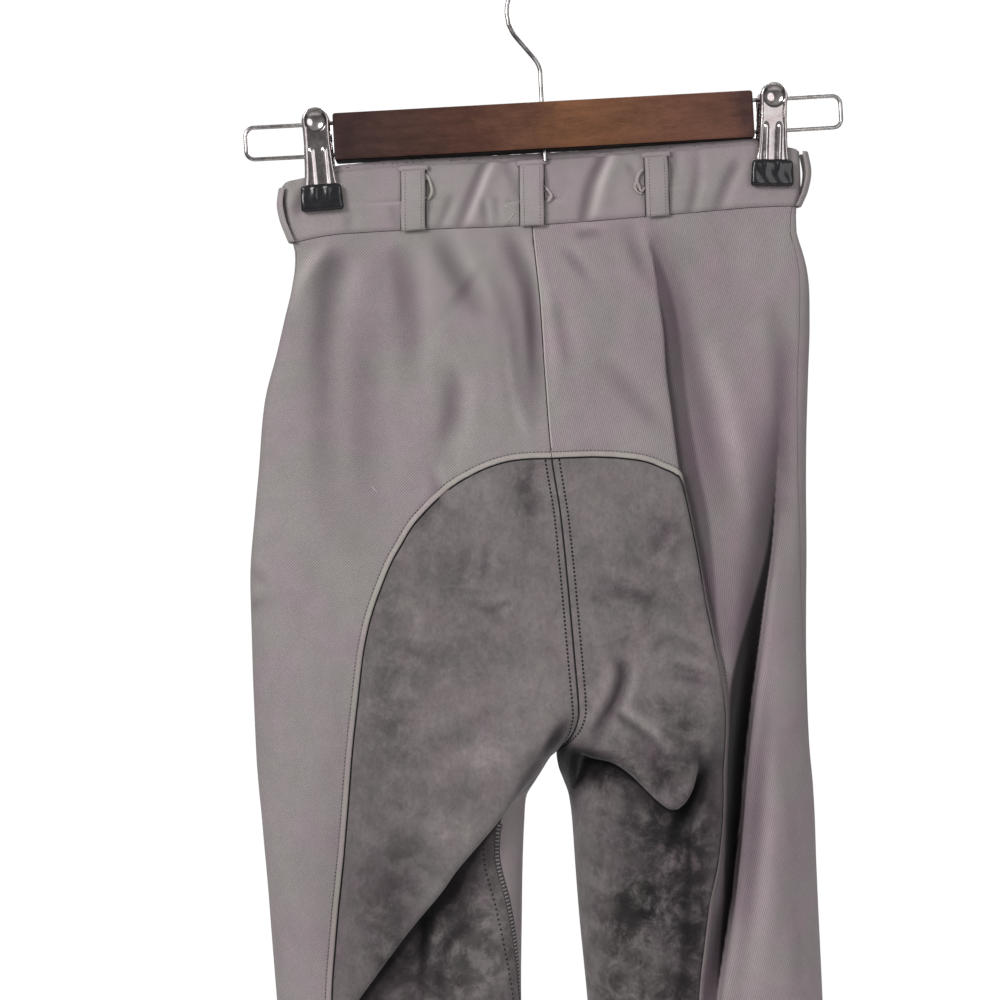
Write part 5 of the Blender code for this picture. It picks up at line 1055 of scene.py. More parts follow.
def shadow(leg, points):
    """Painted shade, lost light in the folds and creases, at each point of a back."""
    x, z = points[:, 0], points[:, 2]
    out = creased(shade_of(BACK_LINES), x, z)
    for lap, path in FACES[leg, "back"].laps:
        s, _, extra = nearest(path, x, z)
        s = s * (1 if lap["hollow"] == "left" else -1)
        inside = np.clip(2.2 * extra[..., 0], 0, 1) * smooth((s - 0.1) / 0.7)
        width = extra[..., 2]
        out += lap["dark"] * inside * smooth(width / 1.2) * (1 - smooth((s - width) / 3.2 + 0.5))
        for reach, amount in lap["shade"]:
            out += amount * inside * np.exp(-(np.maximum(s, 0) / reach) ** 2.2)
    for where, cx, cz, rx, rz, lean, amount in SHADE_SPOTS:
        if where == leg:
            u, v = x - cx - lean * (z - cz), z - cz
            out += amount * np.exp(-((u / rx) ** 2 + (v / rz) ** 2) ** 1.3)
    return out


def stain_and_shade(kind, points):
    """Wear, dirt and painted shade at each point."""
    out = np.zeros(len(points))
    x, z = points[:, 0], points[:, 2]
    wobble = 1 + 0.35 * np.sin(x * 0.31 + z * 0.17) * np.sin(z * 0.23 - x * 0.11)
    for what, cx, cz, rx, rz, amount in STAINS_AND_SHADE:
        if what == kind:
            out += amount * np.exp(-(((x - cx) / rx) ** 2 + ((z - cz) / rz) ** 2) * wobble)
    return out


# ------------------------------------------------------------------------------ cloth pieces

def patch_border(leg, shift):
    """The patch's edge moved to the left of its travel: its top from the centre to the corner in
    even steps, and its side with one point at each row."""
    path = soft_path(ARCH_LEFT if leg == "left" else ARCH_RIGHT, 24)
    count = PATCH_COLUMNS[leg]
    corner = int(np.argmax(path[:, 1] < CORNER_Z))
    share = (CORNER_Z - path[corner - 1, 1]) / (path[corner, 1] - path[corner - 1, 1])
    turning = path[corner - 1] + (path[corner] - path[corner - 1]) * share
    top = np.vstack([path[:corner], turning])
    run = lengths(top)
    top = sampled(np.linspace(0, run[-1], count + 1), run, top)
    rows = Z_ROWS[CORNER_ROW + 1:]
    down = np.interp(-rows, -path[corner - 1:, 1], path[corner - 1:, 0])
    edge = np.vstack([top, np.stack([down, rows], axis=1)])
    way = unit(np.gradient(edge, axis=0))
    edge = edge + np.stack([-way[:, 1], way[:, 0]], axis=1) * shift
    top, down = edge[:count + 1], edge[count:].copy()
    top[0, 0] = float(FACES[leg, "back"].start(top[0, 1]))
    down[1:, 1] = rows
    return top, down


def side_turn(leg, z, shift):
    """The turn of the side seam on the back, moved along the cloth towards the outer edge."""
    return FACES[leg, "back"].turn_from_edge(SIDE_SEAM[leg](z) - shift, z, 1)


def inner_turn(leg, z, shift):
    """The turn of the inseam below the crotch, or 0 at the centre seam."""
    turn = FACES[leg, "back"].turn_from_edge(INSEAM[leg](z) + shift, z)
    return np.where(z > CROTCH_Z + 0.01, 0, turn)


def upright(normals):
    """Normals without their vertical part, for the rows that meet the waistband."""
    return unit(normals * (1, 1, 0))


def back_panel(leg):
    """Twill back: whole above the patch's arch, then a strip outside it down to the hem."""
    face = FACES[leg, "back"]
    inside, outside = PATCH_COLUMNS[leg], SIDE_COLUMNS[leg]
    across = inside + outside + 1
    top, down = patch_border(leg, face.side * SEAM / 2)
    # The upper part, its columns spread between the centre seam and the side seam.
    top_turn = face.turn_of_x(top[:, 0], top[:, 1])
    low_z = np.concatenate([top[:, 1], np.full(outside, top[-1, 1])])
    low_even = face.even_of(top_turn, top[:, 1])
    corner_z = top[-1:, 1]
    side_even = float(face.even_of(side_turn(leg, corner_z, -SEAM / 2), corner_z)[0])
    steps = np.linspace(low_even[-1], side_even, outside + 1)[1:]
    low_even = np.concatenate([low_even, steps]) / side_even
    high_even = 0.35 * low_even + 0.65 * np.linspace(0, 1, across)
    t = (np.arange(CORNER_ROW + 1) / CORNER_ROW)[:, None]
    z_top = WAIST_Z - SEAM / 2
    z = z_top + (low_z - z_top) * t
    seam = side_turn(leg, z, -SEAM / 2)
    turn = face.turn_of((high_even + (low_even - high_even) * t) * face.even_of(seam, z), z)
    turn[:, 0] = 0
    turn[-1, :inside + 1] = top_turn
    turn[:, -1] = seam[:, -1]
    # The strip beside the patch.
    low = down[1:, 1]
    first, last = face.turn_of_x(down[1:, 0], low), side_turn(leg, low, -SEAM / 2)
    start, stop = face.even_of(first, low), face.even_of(last, low)
    strip_z = np.repeat(low[:, None], outside + 1, axis=1)
    spread = start[:, None] + (stop - start)[:, None] * np.linspace(0, 1, outside + 1)
    strip_turn = face.turn_of(spread, strip_z)
    strip_turn[:, 0], strip_turn[:, -1] = first, last
    laid = [(*lay(face, a, b), face.flat(a, b)) for a, b in ((turn, z), (strip_turn, strip_z))]
    points, normals, uv = (np.vstack([part.reshape(-1, part.shape[-1]) for part in both])
                           for both in zip(*laid))
    normals[:across] = upright(normals[:across])
    upper = np.arange(turn.size).reshape(turn.shape)
    lower = turn.size + np.arange(strip_turn.size).reshape(strip_turn.shape)
    lower = np.vstack([upper[-1, inside:], lower])
    piece = cloth(f"back_panel_{leg}", points, normals, TWILL_BACK[leg], uv,
                  [shadow(leg, points), stain_and_shade("panel", points)], quads(upper) + quads(lower))
    edge = np.concatenate([upper[-1, :inside + 1], lower[1:, 0]])
    beside = np.concatenate([upper[-2, :inside], upper[-2, inside + 1:inside + 2], lower[1:, 1]])
    return piece, (points[edge], points[beside], normals[edge])


def seat_patch(leg):
    """Suede seat and inner leg, a Coons patch between arch, seam, edge and hem."""
    face = FACES[leg, "back"]
    inside = PATCH_COLUMNS[leg]
    top, down = patch_border(leg, -face.side * SEAM / 2)
    low = down[:, 1]
    seam_z = low + (top[0, 1] - low[0]) * (1 - smooth((CORNER_Z - low) / 130))
    seam_z[0] = top[0, 1]
    seam_turn = inner_turn(leg, seam_z, SEAM / 2)
    top_turn = face.turn_of_x(top[:, 0], top[:, 1])
    edge_turn = face.turn_of_x(down[:, 0], low)
    top_even = face.even_of(top_turn, top[:, 1])
    seam_even = face.even_of(seam_turn, seam_z)[:, None]
    width = face.even_of(edge_turn, low)[:, None] - seam_even
    s = np.linspace(0, 1, inside + 1)
    fall = smooth((CORNER_Z - low) / 146)[:, None]
    arch_even = seam_even + width * (top_even / top_even[-1])
    arch_z = top[:, 1] - (top[0, 1] + (top[-1, 1] - top[0, 1]) * s)
    even = arch_even * (1 - fall) + (seam_even + width * s) * fall
    z = seam_z[:, None] + (low - seam_z)[:, None] * s + arch_z * (1 - fall)
    turn = face.turn_of(even, z)
    if leg == "right":
        # The rows run along the seat's lap.
        x = face.plain_x(turn, z)
        strength = smooth((-330 - low) / 130) * (1 - smooth((-460 - low) / 120))
        z = z + ROW_DIP_AT(x) * strength[:, None] * smooth((down[:, :1] - x) / 12)
        turn = face.turn_of_x(x, z)
    turn[:, 0], turn[:, -1] = seam_turn, edge_turn
    turn[0], z[0] = top_turn, top[:, 1]
    turn[0, 0] = 0
    points, normals = lay(face, turn, z)
    flat = points.reshape(-1, 3)
    soil_and_shade = stain_and_shade("patch", flat)
    # Under the left seat's fold the suede takes instead the painted shade of the hollow, in patches.
    if leg == "left":
        s, _, extra = nearest(LAP_PATHS[0], flat[:, 0], flat[:, 2])
        under = (s > 0) & (extra[:, 0] > 0.05) & (flat[:, 0] > -140)
        soil_and_shade = np.where(under, stain_and_shade("thigh", flat), soil_and_shade)
    piece = cloth(f"seat_patch_{leg}", points, normals, SUEDE, face.flat(turn, z),
                  [shadow(leg, flat), soil_and_shade])
    edge = [np.vstack([a[0], a[1:, -1]]) for a in (points, normals)]
    beside = np.vstack([points[1, :-1], points[1, -2], points[1:, -2]])
    return piece, (edge[0], beside, edge[1])


def square_to(along, edge, beside):
    """Unit vectors from a border into its cloth, square to the border's run."""
    run = beside - edge
    run = run - along * np.sum(run * along, axis=1, keepdims=True)
    return run / np.maximum(np.linalg.norm(run, axis=1, keepdims=True), 0.2)


def piping(leg, panel, patch):
    """Flat piping over the seam between panel and patch, made from their points moved out."""
    middle = (panel[0] + patch[0]) / 2
    along = unit(np.gradient(middle, axis=0))
    across = unit(square_to(along, *patch[:2]) - square_to(along, *panel[:2]))
    normal = panel[2] + patch[2]
    normal = unit(normal - across * np.sum(normal * across, axis=1, keepdims=True))
    height, dim = middle[:, 2], 0
    if leg == "left":
        # The panel's rows turn here, and the piping runs on smoothly.
        turning = slice(PATCH_COLUMNS[leg] - 8, PATCH_COLUMNS[leg] + 9)
        share = np.linspace(0, 1, 17)[:, None]
        for way in (across, normal):
            ends = way[turning][0], way[turning][-1]
            way[turning] = unit(ends[0] * (1 - share) + ends[1] * share)
        # Painted light: the piping lighter at the arch and darker down the leg.
        dim = 0.22 * smooth((-330 - height) / 90)
    else:
        # Inside the seat's fold it lies in the dark: painted shade.
        dim = 1.15 * smooth((-299 - height) / 8) * (1 - 0.45 * smooth((-500 - height) / 90))
    low = CLOTH / 2 + 0.1 + PIPE_STAND[leg]
    points = np.stack([middle + across * (PIPE_WIDTH / 2 * s) + normal * (low + h)
                       for s, h in PIPE_SHAPE], axis=1)
    points[0, :, 0] = middle[0, 0]
    rows, columns = points.shape[:2]
    faces = tube_faces(rows, columns)
    if leg == "right":
        faces = [f[::-1] for f in faces]
    run = lengths(middle)
    wide = np.array([s for s, _ in PIPE_SHAPE]) * PIPE_WIDTH / 2
    uv = np.stack(np.broadcast_arrays(wide, run[:, None]), axis=-1) * MM
    name = f"piping_{leg}"
    piece = add_mesh(name, points.reshape(-1, 3), faces, PIPING, name, uv,
                     np.repeat(dim, columns), 60)
    return piece, (middle, across, normal, run)


def front_panel(leg):
    """Twill front: from the side seam on the back, round the outer edge, over the front and, below
    the crotch, round the inner edge to the inseam."""
    back, front = FACES[leg, "back"], FACES[leg, "front"]
    z = FRONT_ROWS.copy()
    z[0] -= SEAM / 2
    legs = z < CROTCH_Z + 0.01
    wraps = legs & (INSEAM[leg](z) - SEAM / 2 > 0.4)
    start, stop = side_turn(leg, z, SEAM / 2), inner_turn(leg, z, -SEAM / 2)
    last = np.where(legs & ~wraps, front.turn_from_edge(SEAM / 2, z), 0)
    side_steps = 24
    laid = [lay(face, turns, np.repeat(z[:, None], turns.shape[1], axis=1)) for face, turns in (
        (back, start[:, None] + (1 - start)[:, None] * np.linspace(0, 1, side_steps)),
        (front, 1 + (last - 1)[:, None] * np.linspace(0, 1, 200)),
        (back, stop[:, None] * np.linspace(0, 1, 60)))]
    points, normals, uv = [], [], []
    for i, wrapped in enumerate(wraps):
        p, n = (np.vstack([part[k][i] for part in laid[:3 if wrapped else 2]]) for k in (0, 1))
        run = lengths(p)
        outer = run[side_steps - 1]
        even = np.concatenate([np.linspace(0, outer, 6),
                               np.linspace(outer, run[-1], FRONT_COLUMNS - 4)[1:]])
        points.append(sampled(even, run, p))
        normals.append(unit(sampled(even, run, n)))
        uv.append(np.stack(np.broadcast_arrays(even * back.side, z[i]), axis=1) * MM)
    normals[0] = upright(normals[0])
    points, normals = np.array(points), np.array(normals)
    x, y, height = points.reshape(-1, 3).T
    shade = creased(shade_of(FRONT_LINES), x, height) * (y > 0)
    piece = cloth(f"front_panel_{leg}", points, normals, TWILL_FRONT, uv, shade)
    return piece, (points, normals)


def band_row(leg, share, stations):
    """One row of the waistband's half, from the centre back round the side to the front."""
    back, front = FACES[leg, "back"], FACES[leg, "front"]
    z = BAND_TOP_Z + (WAIST_Z + SEAM / 2 - BAND_TOP_Z) * share
    p = np.vstack([back.point(stations[0], z), front.point(stations[1], z)])
    n = upright(np.vstack([back.normal(stations[0], z), front.normal(stations[1], z)]))
    n[0], n[-1] = BACKWARD, FORWARD
    if leg == "right":
        # The lapped end, moved out over the left half.
        reach = np.linspace(0, OVERLAP, 14)[1:]
        lap_x = p[-1, 0] - reach
        lap_y = BOW * np.maximum(0, 1 - (lap_x / BOW_REACH) ** 2) + HALF_GAP(lap_x)
        p = np.vstack([p, np.stack([lap_x, lap_y, 0 * reach], axis=1)])
        n = np.vstack([n, np.repeat(n[-1:], len(reach), axis=0)])
        start = float(front.start(z))
        p[:, 1] += (BAND + SEAM) * smooth((start + 14 - p[:, 0]) / 11) * (p[:, 1] > 6)
    top = BAND_TOP(p[:, 0])
    p[:, 2] = top + (BAND_FOOT(p[:, 0]) + SEAM / 2 - top) * share
    return p, n


def waistband(leg):
    """Half the waistband, folded over at the top, creased between the loops."""
    back, front = FACES[leg, "back"], FACES[leg, "front"]
    even = np.linspace(0, 1, 84)
    z = np.full(even.shape, WAIST_Z + 1.0)
    stations = (back.turn_of(even, z), front.turn_of(even[::-1][1:], z[1:]))
    points, normals, uv, high, dark = [], [], [], [], []
    for share in np.linspace(0, 1, 27):
        p, n = band_row(leg, share, stations)
        run = lengths(p[:, :2])
        on_back = n[:, 1] < -0.6
        dent = creased(BAND_LINES, p[:, 0], p[:, 2])
        for tuck in TUCKS:
            s, _, extra = nearest(triples(tuck), p[:, 0], p[:, 2])
            dent += extra[..., 0] * (0.75 * np.exp(-((s - 0.5) / 0.55) ** 2)
                                     - 0.4 * np.exp(-(s + 1) ** 2))
        ends = smooth((run - 1.5) / 4)
        # Painted shade in the band's creases and tucks, and darker towards its lower edge.
        dark.append(np.where(on_back, dent, 0) * BAND_SHADE + 0.3 * smooth((share - 0.93) / 0.07))
        round_top = 0.9 * max(0, 1 - share * 38 / 1.6) ** 2
        points.append(p)
        normals.append(n)
        high.append(BAND / 2 - np.where(on_back, np.clip(dent, -1, 1.6) * ends, 0)
                    - round_top + 0.18 * rippled(p[:, 0] * 1.6, p[:, 2] * 2))
        uv.append(np.stack([run * back.side, p[:, 2]], axis=1) * MM)
    piece = shell(f"waistband_{leg}", points, normals, -BAND / 2, np.concatenate(high),
                  TWILL_BAND, uv, np.concatenate(dark), 0.35)
    return piece, (np.array(points), np.array(normals))


def band_skin(band, sign):
    """The outermost y of the band's skin on one face over an x range, at a share of its height."""
    points, normals = band
    skin = (points + normals * (BAND / 2))[:, normals[0, :, 1] * sign > 0.9]

    def outermost(x_from, x_to, share):
        row = share * (len(skin) - 1)
        i = min(int(row), len(skin) - 2)
        line = skin[i] + (skin[i + 1] - skin[i]) * (row - i)
        line = line[np.argsort(line[:, 0])]
        y = np.interp(np.linspace(x_from, x_to, 9), line[:, 0], line[:, 1])
        return float(np.max(y * sign)) * sign

    return outermost


def loop_mesh(name, rows):
    """A folded strip of twill from rows of (points, normals), with rolled edges."""
    points, normals = (np.array([r[k] for r in rows]) for k in (0, 1))
    count, across = points.shape[:2]
    shares = np.linspace(-1, 1, across)
    high = np.tile(LOOP / 2 * np.sqrt(np.clip(1 - np.abs(shares) ** 9, 0.05, 1)), count)
    wide = np.linalg.norm(points[0, -1] - points[0, 0]) / 2
    run = lengths(points[:, across // 2])
    uv = np.stack(np.broadcast_arrays(shares * wide, -run[:, None]), axis=-1) * MM
    return shell(name, points, normals, -high, high, TWILL_LOOP, uv, None, 0.12)


def belt_loop(name, skins, x, width, sign, stand, lean=0):
    """A folded strip on the band, standing off it between its ends, which are sewn down."""
    across, out = 13, []
    edge, seam = float(BAND_TOP(x)), float(BAND_FOOT(x))
    top, foot = edge - 3.6, seam - 0.6
    for t in np.linspace(0, 1, 35):
        z = top + (foot - top) * t
        share = np.clip((edge - z) / (edge - seam), 0, 1)
        y = max(skin(x - width / 2, x + width / 2, share) * sign for skin in skins) * sign
        lift = SEAM + LOOP / 2 + 0.2 + stand * math.sin(math.pi * t) ** 0.6
        line = []
        for u in np.linspace(-1, 1, across):
            sag = 0.25 * math.sin(7 * t + x) * u + 0.2 * u * u * math.sin(math.pi * t)
            uneven = 0.16 * math.sin(9 * t + 2 * x) * u * u
            line.append((x + lean * (t - 0.5) + u * (width / 2 + uneven * np.sign(u)),
                         y + sign * (lift - sag), z + 0.25 * u * np.sin(x)))
        out.append((line, [(0, sign, 0)] * across))
    piece = loop_mesh(name, out)
    for side, k in (("left", 2), ("right", 10)):
        path = [(np.array(line[k]) + (0, sign * LOOP / 2, 0), (0, sign, 0))
                for line, _ in out[1:-1]]
        stitches(f"{name}_stitch_{side}", path, 1.9, 1.15, 0.42, 0.14, BROWN_THREAD)
    return piece


def side_loop(name, side, top, foot, *stands):
    """A loop at the band's fold, bent round it and seen edge-on from the back."""
    outer = LEFT_OUTER if side < 0 else RIGHT_OUTER
    stand = column(tuple(zip((0, 0.35, 1), stands)), 1)
    bend, out = 6.5, []
    for t in np.linspace(0, 1, 31):
        z = top + (foot - top) * t
        edge = float(outer(min(-105, z)))
        edge += side * (BAND / 2 + SEAM + 0.2 + LOOP / 2 + float(stand(t)))
        angles = np.radians(np.linspace(-62, 62, 17))
        line = [(edge - side * bend * (1 - math.cos(a)), bend * math.sin(a), z) for a in angles]
        out.append((line, [(side * math.cos(a), math.sin(a), 0) for a in angles]))
    return loop_mesh(name, out)


def fly_placket(panel):
    """The shield over the fly, on the right front panel from its points, moved out."""
    width, length = 38, 150
    points, normals, uv = [], [], []
    for z, line, ways in zip(FRONT_ROWS, *panel):
        if z <= WAIST_Z - length:
            break
        line, ways = line[::-1], ways[::-1]
        run = lengths(line)
        drop = (WAIST_Z - z) / length
        wide = width * math.sqrt(max(0, 1 - max(0, (drop - 0.55) / 0.5) ** 2))
        at = np.concatenate([[0.4], np.linspace(0.1, 1, 14) * wide])
        points.append(sampled(at, run, line))
        normals.append(unit(sampled(at, run, ways)))
        uv.append(np.stack(np.broadcast_arrays(at, z), axis=1) * MM)
    low = CLOTH / 2 + SEAM + 0.1
    return shell("fly_placket", points, normals, low, low + CLOTH, TWILL_FRONT, uv)


# ------------------------------------------------------------------------------------- sewing

def stitches(name, path, pitch, length, width, height, mat, across=False):
    """A row of short rounded stitches along (or across) a path of points and normals."""
    p, n = (np.array([row[k] for row in path], float) for k in (0, 1))
    run = lengths(p)
    points, faces = [], []
    for at in np.arange(pitch / 2.0, run[-1], pitch):
        here, ahead, behind = (sampled(a, run, p) for a in (at, at + 0.8, at - 0.8))
        up = sampled(at, run, n)
        t = unit(ahead - behind)
        up = unit(up - t * np.dot(up, t))
        side = np.cross(t, up)
        if across:
            t, side = side, t
        t = t + side * (0.06 * math.sin(at * 7.3))
        faces += tube_faces(3, 6, first=len(points))
        for level, shrink in ((-0.35, 1), (0.45, 0.92), (1, 0.55)):
            points += [here + t * (u * length * (0.4 + 0.6 * shrink)) + side * (v * width * shrink)
                       + up * (height * level) for u, v in STITCH_SHAPE]
    return add_mesh(name, points, faces, mat)


def on_back(leg, turn, z, out=0):
    """Path of points on the outer face of a leg's back."""
    p, n = lay(FACES[leg, "back"], turn, z)
    return [(a + b * (CLOTH / 2 + out), b) for a, b in zip(p, n)]


def tube(name, path, radius, mat, sides=8, taper=0, node=None):
    """A round tube along points in mm, closed at its ends."""
    p = np.asarray(path, float)
    t = unit(np.gradient(p, axis=0))
    up = np.cross(t[0], (0.31, 0.77, 0.55))
    points = []
    for centre, way, share in zip(p, t, np.linspace(0, 1, len(p))):
        up = unit(up - way * np.dot(up, way))
        size = radius * (1 - taper * share ** 2)
        for a in np.linspace(0, 2 * math.pi, sides, endpoint=False):
            points.append(centre + size * (math.cos(a) * up + math.sin(a) * np.cross(way, up)))
    return add_mesh(name, points, tube_faces(len(p), sides), mat, node, angle=50)


def strand(name, route, radius, mat, steps=5):
    """A loose thread along a soft curve."""
    return tube(name, soft_path(route, steps), radius, mat, 5, 0.75)


def strip(name, path, width, height, mat):
    """A low rounded ridge along a path of points and normals."""
    p, n = (np.array([row[k] for row in path], float) for k in (0, 1))
    side = unit(np.cross(unit(np.gradient(p, axis=0)), n))
    points = np.stack([p + side * (u * width) + n * (v * height) for u, v in STRIP_SHAPE], axis=1)
    across = np.array([u for u, _ in STRIP_SHAPE]) * width
    uv = np.stack(np.broadcast_arrays(across, lengths(p)[:, None]), axis=-1) * MM
    return add_mesh(name, points.reshape(-1, 3), tube_faces(*points.shape[:2], inward=True), mat,
                    uv=uv, angle=80)


# ----------------------------------------------------------------------------------- hardware

def wire(node, name, route, radius):
    return tube(name, route, radius, CHROME, 18, 0, node)


def hanger_hook():
    bend = ((0, -60), (0, -55), (-2, -49.4), (-8.4, -40.8), (-14.4, -32.8),
            (-17.2, -26.6))
    route = [(0, 0, z) for z in (STEM_END_Z, -85, -64)]
    route += [(x, 0, z) for x, z in soft_path(bend, 8)]
    route += [(HOOK_RX * math.cos(a), 0, WIRE_R - HOOK_RZ + HOOK_RZ * math.sin(a))
              for a in np.radians(range(180, 19, -4))]
    wire("hanger_hook", "hook_wire", route, WIRE_R)


def end_loop(name, side):
    high, low = END_LOOP_Z
    start, radius = BAR[0] / 2 - SOCKET + SEAM, 5
    centre = END_LOOP_X - radius
    route = [(x, high) for x in (start, start + 20, centre)]
    for z, angles in ((high - radius, range(80, -1, -10)), (low + radius, range(0, -81, -10))):
        route += [(centre + radius * math.cos(a), z + radius * math.sin(a)) for a in np.radians(angles)]
    route += [(x, low) for x in (centre, start + 20, start)]
    route = [(side * x, 0.25 * math.sin(x * 0.2), z + 0.2 * math.sin(x * 0.13)) for x, z in route]
    wire(f"end_loop_{name}", f"loop_wire_{name}", route, LOOP_WIRE_R)


def two_ribs(x, width):
    """Height over a plate's two pressed ribs."""
    return math.exp(-((x - RIB_X) / width) ** 2) + math.exp(-((x + RIB_X) / width) ** 2)


def clip_plate(name, x_top, lean, sign):
    """A pressed plate: round top with a dished finger rest, two ribs, a rolled rim."""
    half_at, away_at = column(PLATE_SHAPE, 1), column(PLATE_SHAPE, 2)
    across = np.sin(np.linspace(-math.pi / 2, math.pi / 2, 41))
    drops = CLIP_TOP_Z - np.concatenate([[0, 0.06, 0.2, 0.4, 0.7, 1.1, 1.6, 2.2, 2.9],
                                         np.linspace(3.7, 44.6, 70)])
    points, shade = [], []
    for z in drops:
        half = max(float(half_at(z)), 0.35)
        rib = float(smooth((-94.5 - z) / 3))
        for share in across:
            x = share * half
            edge = min((1 - abs(share)) * half, (CLIP_TOP_Z - z) * 0.8 + 0.02)
            dish = math.hypot(x, z + 79.9) / 6.2
            y = float(away_at(z)) - 1.5 * max(0, 1 - edge / 1.2) ** 2
            y -= 0.45 * float(smooth((edge - 1.3) / 0.9)) + 2.3 * max(0, 1 - dish ** 2) ** 0.7
            y += 0.95 * rib * two_ribs(x, 1.15)
            # Painted reflection: darker over the plate's middle, less so inside the dish, dark round the
            # dish's rim, lighter at its edges and on its ribs.
            reflection_shade = 0.62 * float(smooth((edge - 0.9) / 0.8)) * (0.45 if dish < 0.8 else 1)
            reflection_shade += 0.8 * math.exp(-((dish - 0.97) / 0.07) ** 2) - 0.5 * rib * two_ribs(x, 1)
            shade.append(reflection_shade)
            points.append((x_top + lean * (CLIP_TOP_Z - z) + x, sign * y, z + x * lean))
    points = np.reshape(points, (len(drops), len(across), 3))
    shell(f"clip_{name}", points, np.full(points.shape, (0.0, sign, 0.0)), -PLATE / 2.0, PLATE / 2.0,
          PLATED, np.zeros((len(shade), 2)), shade, 0.0, name=f"plate_{name}")


def clip_cap(name, centre, tilt, sign):
    """A dipped vinyl cap with the plate's ribs showing through."""
    shape = bmesh.new()
    bmesh.ops.create_cube(shape, size=2)
    bmesh.ops.subdivide_edges(shape, edges=shape.edges, cuts=22, use_grid_fill=True)
    half = Vector(CAP) / 2
    radius = 1.9
    for v in shape.verts:
        p = Vector([c * h for c, h in zip(v.co, half)])
        inner = Vector([max(-h + radius, min(h - radius, c)) for h, c in zip(half, p)])
        out = p - inner
        if out.length > 1e-6:
            p = inner + out.normalized() * radius
        p.x *= 1 - 0.03 * (p.z / half.z) - 0.02
        if p.y * sign > 0.5:
            ribs = float(smooth((p.z + 3) / 6)) * two_ribs(p.x, 1.5)
            p.y += sign * (0.75 * ribs - 0.35 + 0.12 * math.sin(p.x * 0.9 + p.z * 0.6))
        v.co = p
    shape.transform(Matrix.Translation(Vector(centre)) @ Matrix.Rotation(-tilt, 4, "Y"))
    points = [tuple(v.co) for v in shape.verts]
    faces = [tuple(v.index for v in f.verts) for f in shape.faces]
    shape.free()
    add_mesh(f"vinyl_{name}", points, faces, BLACK, f"cap_{name}")


def clip(name, x_top, x_jaw):
    """Two plates with their caps, and the coil between them."""
    run = CLIP_TOP_Z - (CAP_TOP_Z - CAP[2])
    lean = (x_jaw - x_top) / run
    z_mid = CAP_TOP_Z - CAP[2] / 2
    for face, sign in (("back", -1.0), ("front", 1.0)):
        clip_plate(f"{name}_{face}", x_top, lean, sign)
        y = sign * (NIPPED + BAND / 2 + SEAM + CAP[1] / 2)
        clip_cap(f"{name}_{face}", (x_top + lean * (CLIP_TOP_Z - z_mid), y, z_mid), math.atan(lean), sign)
    turns, wire_r = 5.5, 0.85
    radius, length = CLIP_SPRING_R - wire_r, CLIP_SPRING_LENGTH - 2 * wire_r
    x = x_top + lean * (CLIP_TOP_Z - CLIP_SPRING_Z)
    route = [(x + length * (t - 0.5), radius * math.cos(2 * math.pi * turns * t),
              CLIP_SPRING_Z + radius * math.sin(2 * math.pi * turns * t))
             for t in np.linspace(0, 1, 160)]
    wire(f"clip_{name}_spring", f"clip_{name}_coil", route, wire_r)


def waist_button(skin):
    """A turned four-hole button on the lapped end of the waist."""
    (x, z), radius, around = BUTTON_AT, BUTTON_PROFILE[2][0], 48
    y = skin(x - radius, x + radius, 0.5) + SEAM
    points = [(x + r * math.cos(a), y + h, z + r * math.sin(a)) for r, h in BUTTON_PROFILE
              for a in np.linspace(0, 2 * math.pi, around, endpoint=False)]
    add_mesh("waist_button_disc", points, tube_faces(len(BUTTON_PROFILE), around), HORN,
             "waist_button", angle=35)
    for k, dx in enumerate((-1.5, 1.5)):
        strand(f"button_thread_{k}", [(x + dx, y + 1.7, z - 1.5), (x + dx * 0.5, y + 2.3, z),
                                      (x - dx, y + 1.7, z + 1.5)], 0.3, BLACK_THREAD_AND_SHADE)


# -------------------------------------------------------------------------------- the garment

sheets, fronts, bands, trims = {}, {}, {}, {}
for leg in ("left", "right"):
    sheets[f"back_panel_{leg}"], panel = back_panel(leg)
    sheets[f"seat_patch_{leg}"], patch = seat_patch(leg)
    sheets[f"piping_{leg}"], trims[leg] = piping(leg, panel, patch)
    sheets[f"front_panel_{leg}"], fronts[leg] = front_panel(leg)
    sheets[f"waistband_{leg}"], bands[leg] = waistband(leg)
SKINS = [band_skin(bands[leg], -1) for leg in bands]


def skins_at(x, reach=10):
    """The skins of the band's halves at the back that lie within reach."""
    return SKINS if abs(x - CENTRE_X) < reach else SKINS[:1] if x < CENTRE_X else SKINS[1:]


def band_y(x, half, share=0.5, reach=10):
    """The band's outer skin on the back over a width, at a share of its height."""
    return min(skin(x - half, x + half, share) for skin in skins_at(x, reach))


for name, x, width, lean in BACK_LOOPS:
    name = f"belt_loop_back_{name}"
    sheets[name] = belt_loop(name, skins_at(x), x, width, -1, 2, lean)
for leg, x in FRONT_LOOPS:
    name = f"belt_loop_front_{leg}"
    sheets[name] = belt_loop(name, [band_skin(bands[leg], 1)], x, LOOP_WIDTH, 1, 2.3)
for leg, *row in SIDE_LOOPS:
    sheets[f"belt_loop_side_{leg}"] = side_loop(f"belt_loop_side_{leg}", *row)
sheets["fly_placket"] = fly_placket(fronts["right"])
hanger_hook()
for name, side in (("left", -1.0), ("right", 1.0)):
    end_loop(name, side)
for row in CLIPS:
    clip(*row)
waist_button(band_skin(bands["right"], 1))
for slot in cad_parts["hanger_bar"].material_slots:
    slot.material = WOOD


def along_seam(leg, top, bottom, length, out):
    """Path down a leg's back at a length from the centre seam."""
    z = np.arange(top, bottom, -1.5)
    return on_back(leg, FACES[leg, "back"].turn_from_edge(np.full(z.shape, length), z), z, out)


# Seat seam: two rows of black stitches beside it.
for leg, reach in (("left", 3.6), ("right", 4.2)):
    stitches(f"seat_stitch_{leg}", along_seam(leg, -284, -457.5, reach, 0.02), 2.35, 1.6, 1.15, 0.3,
             BLACK_THREAD_AND_SHADE)
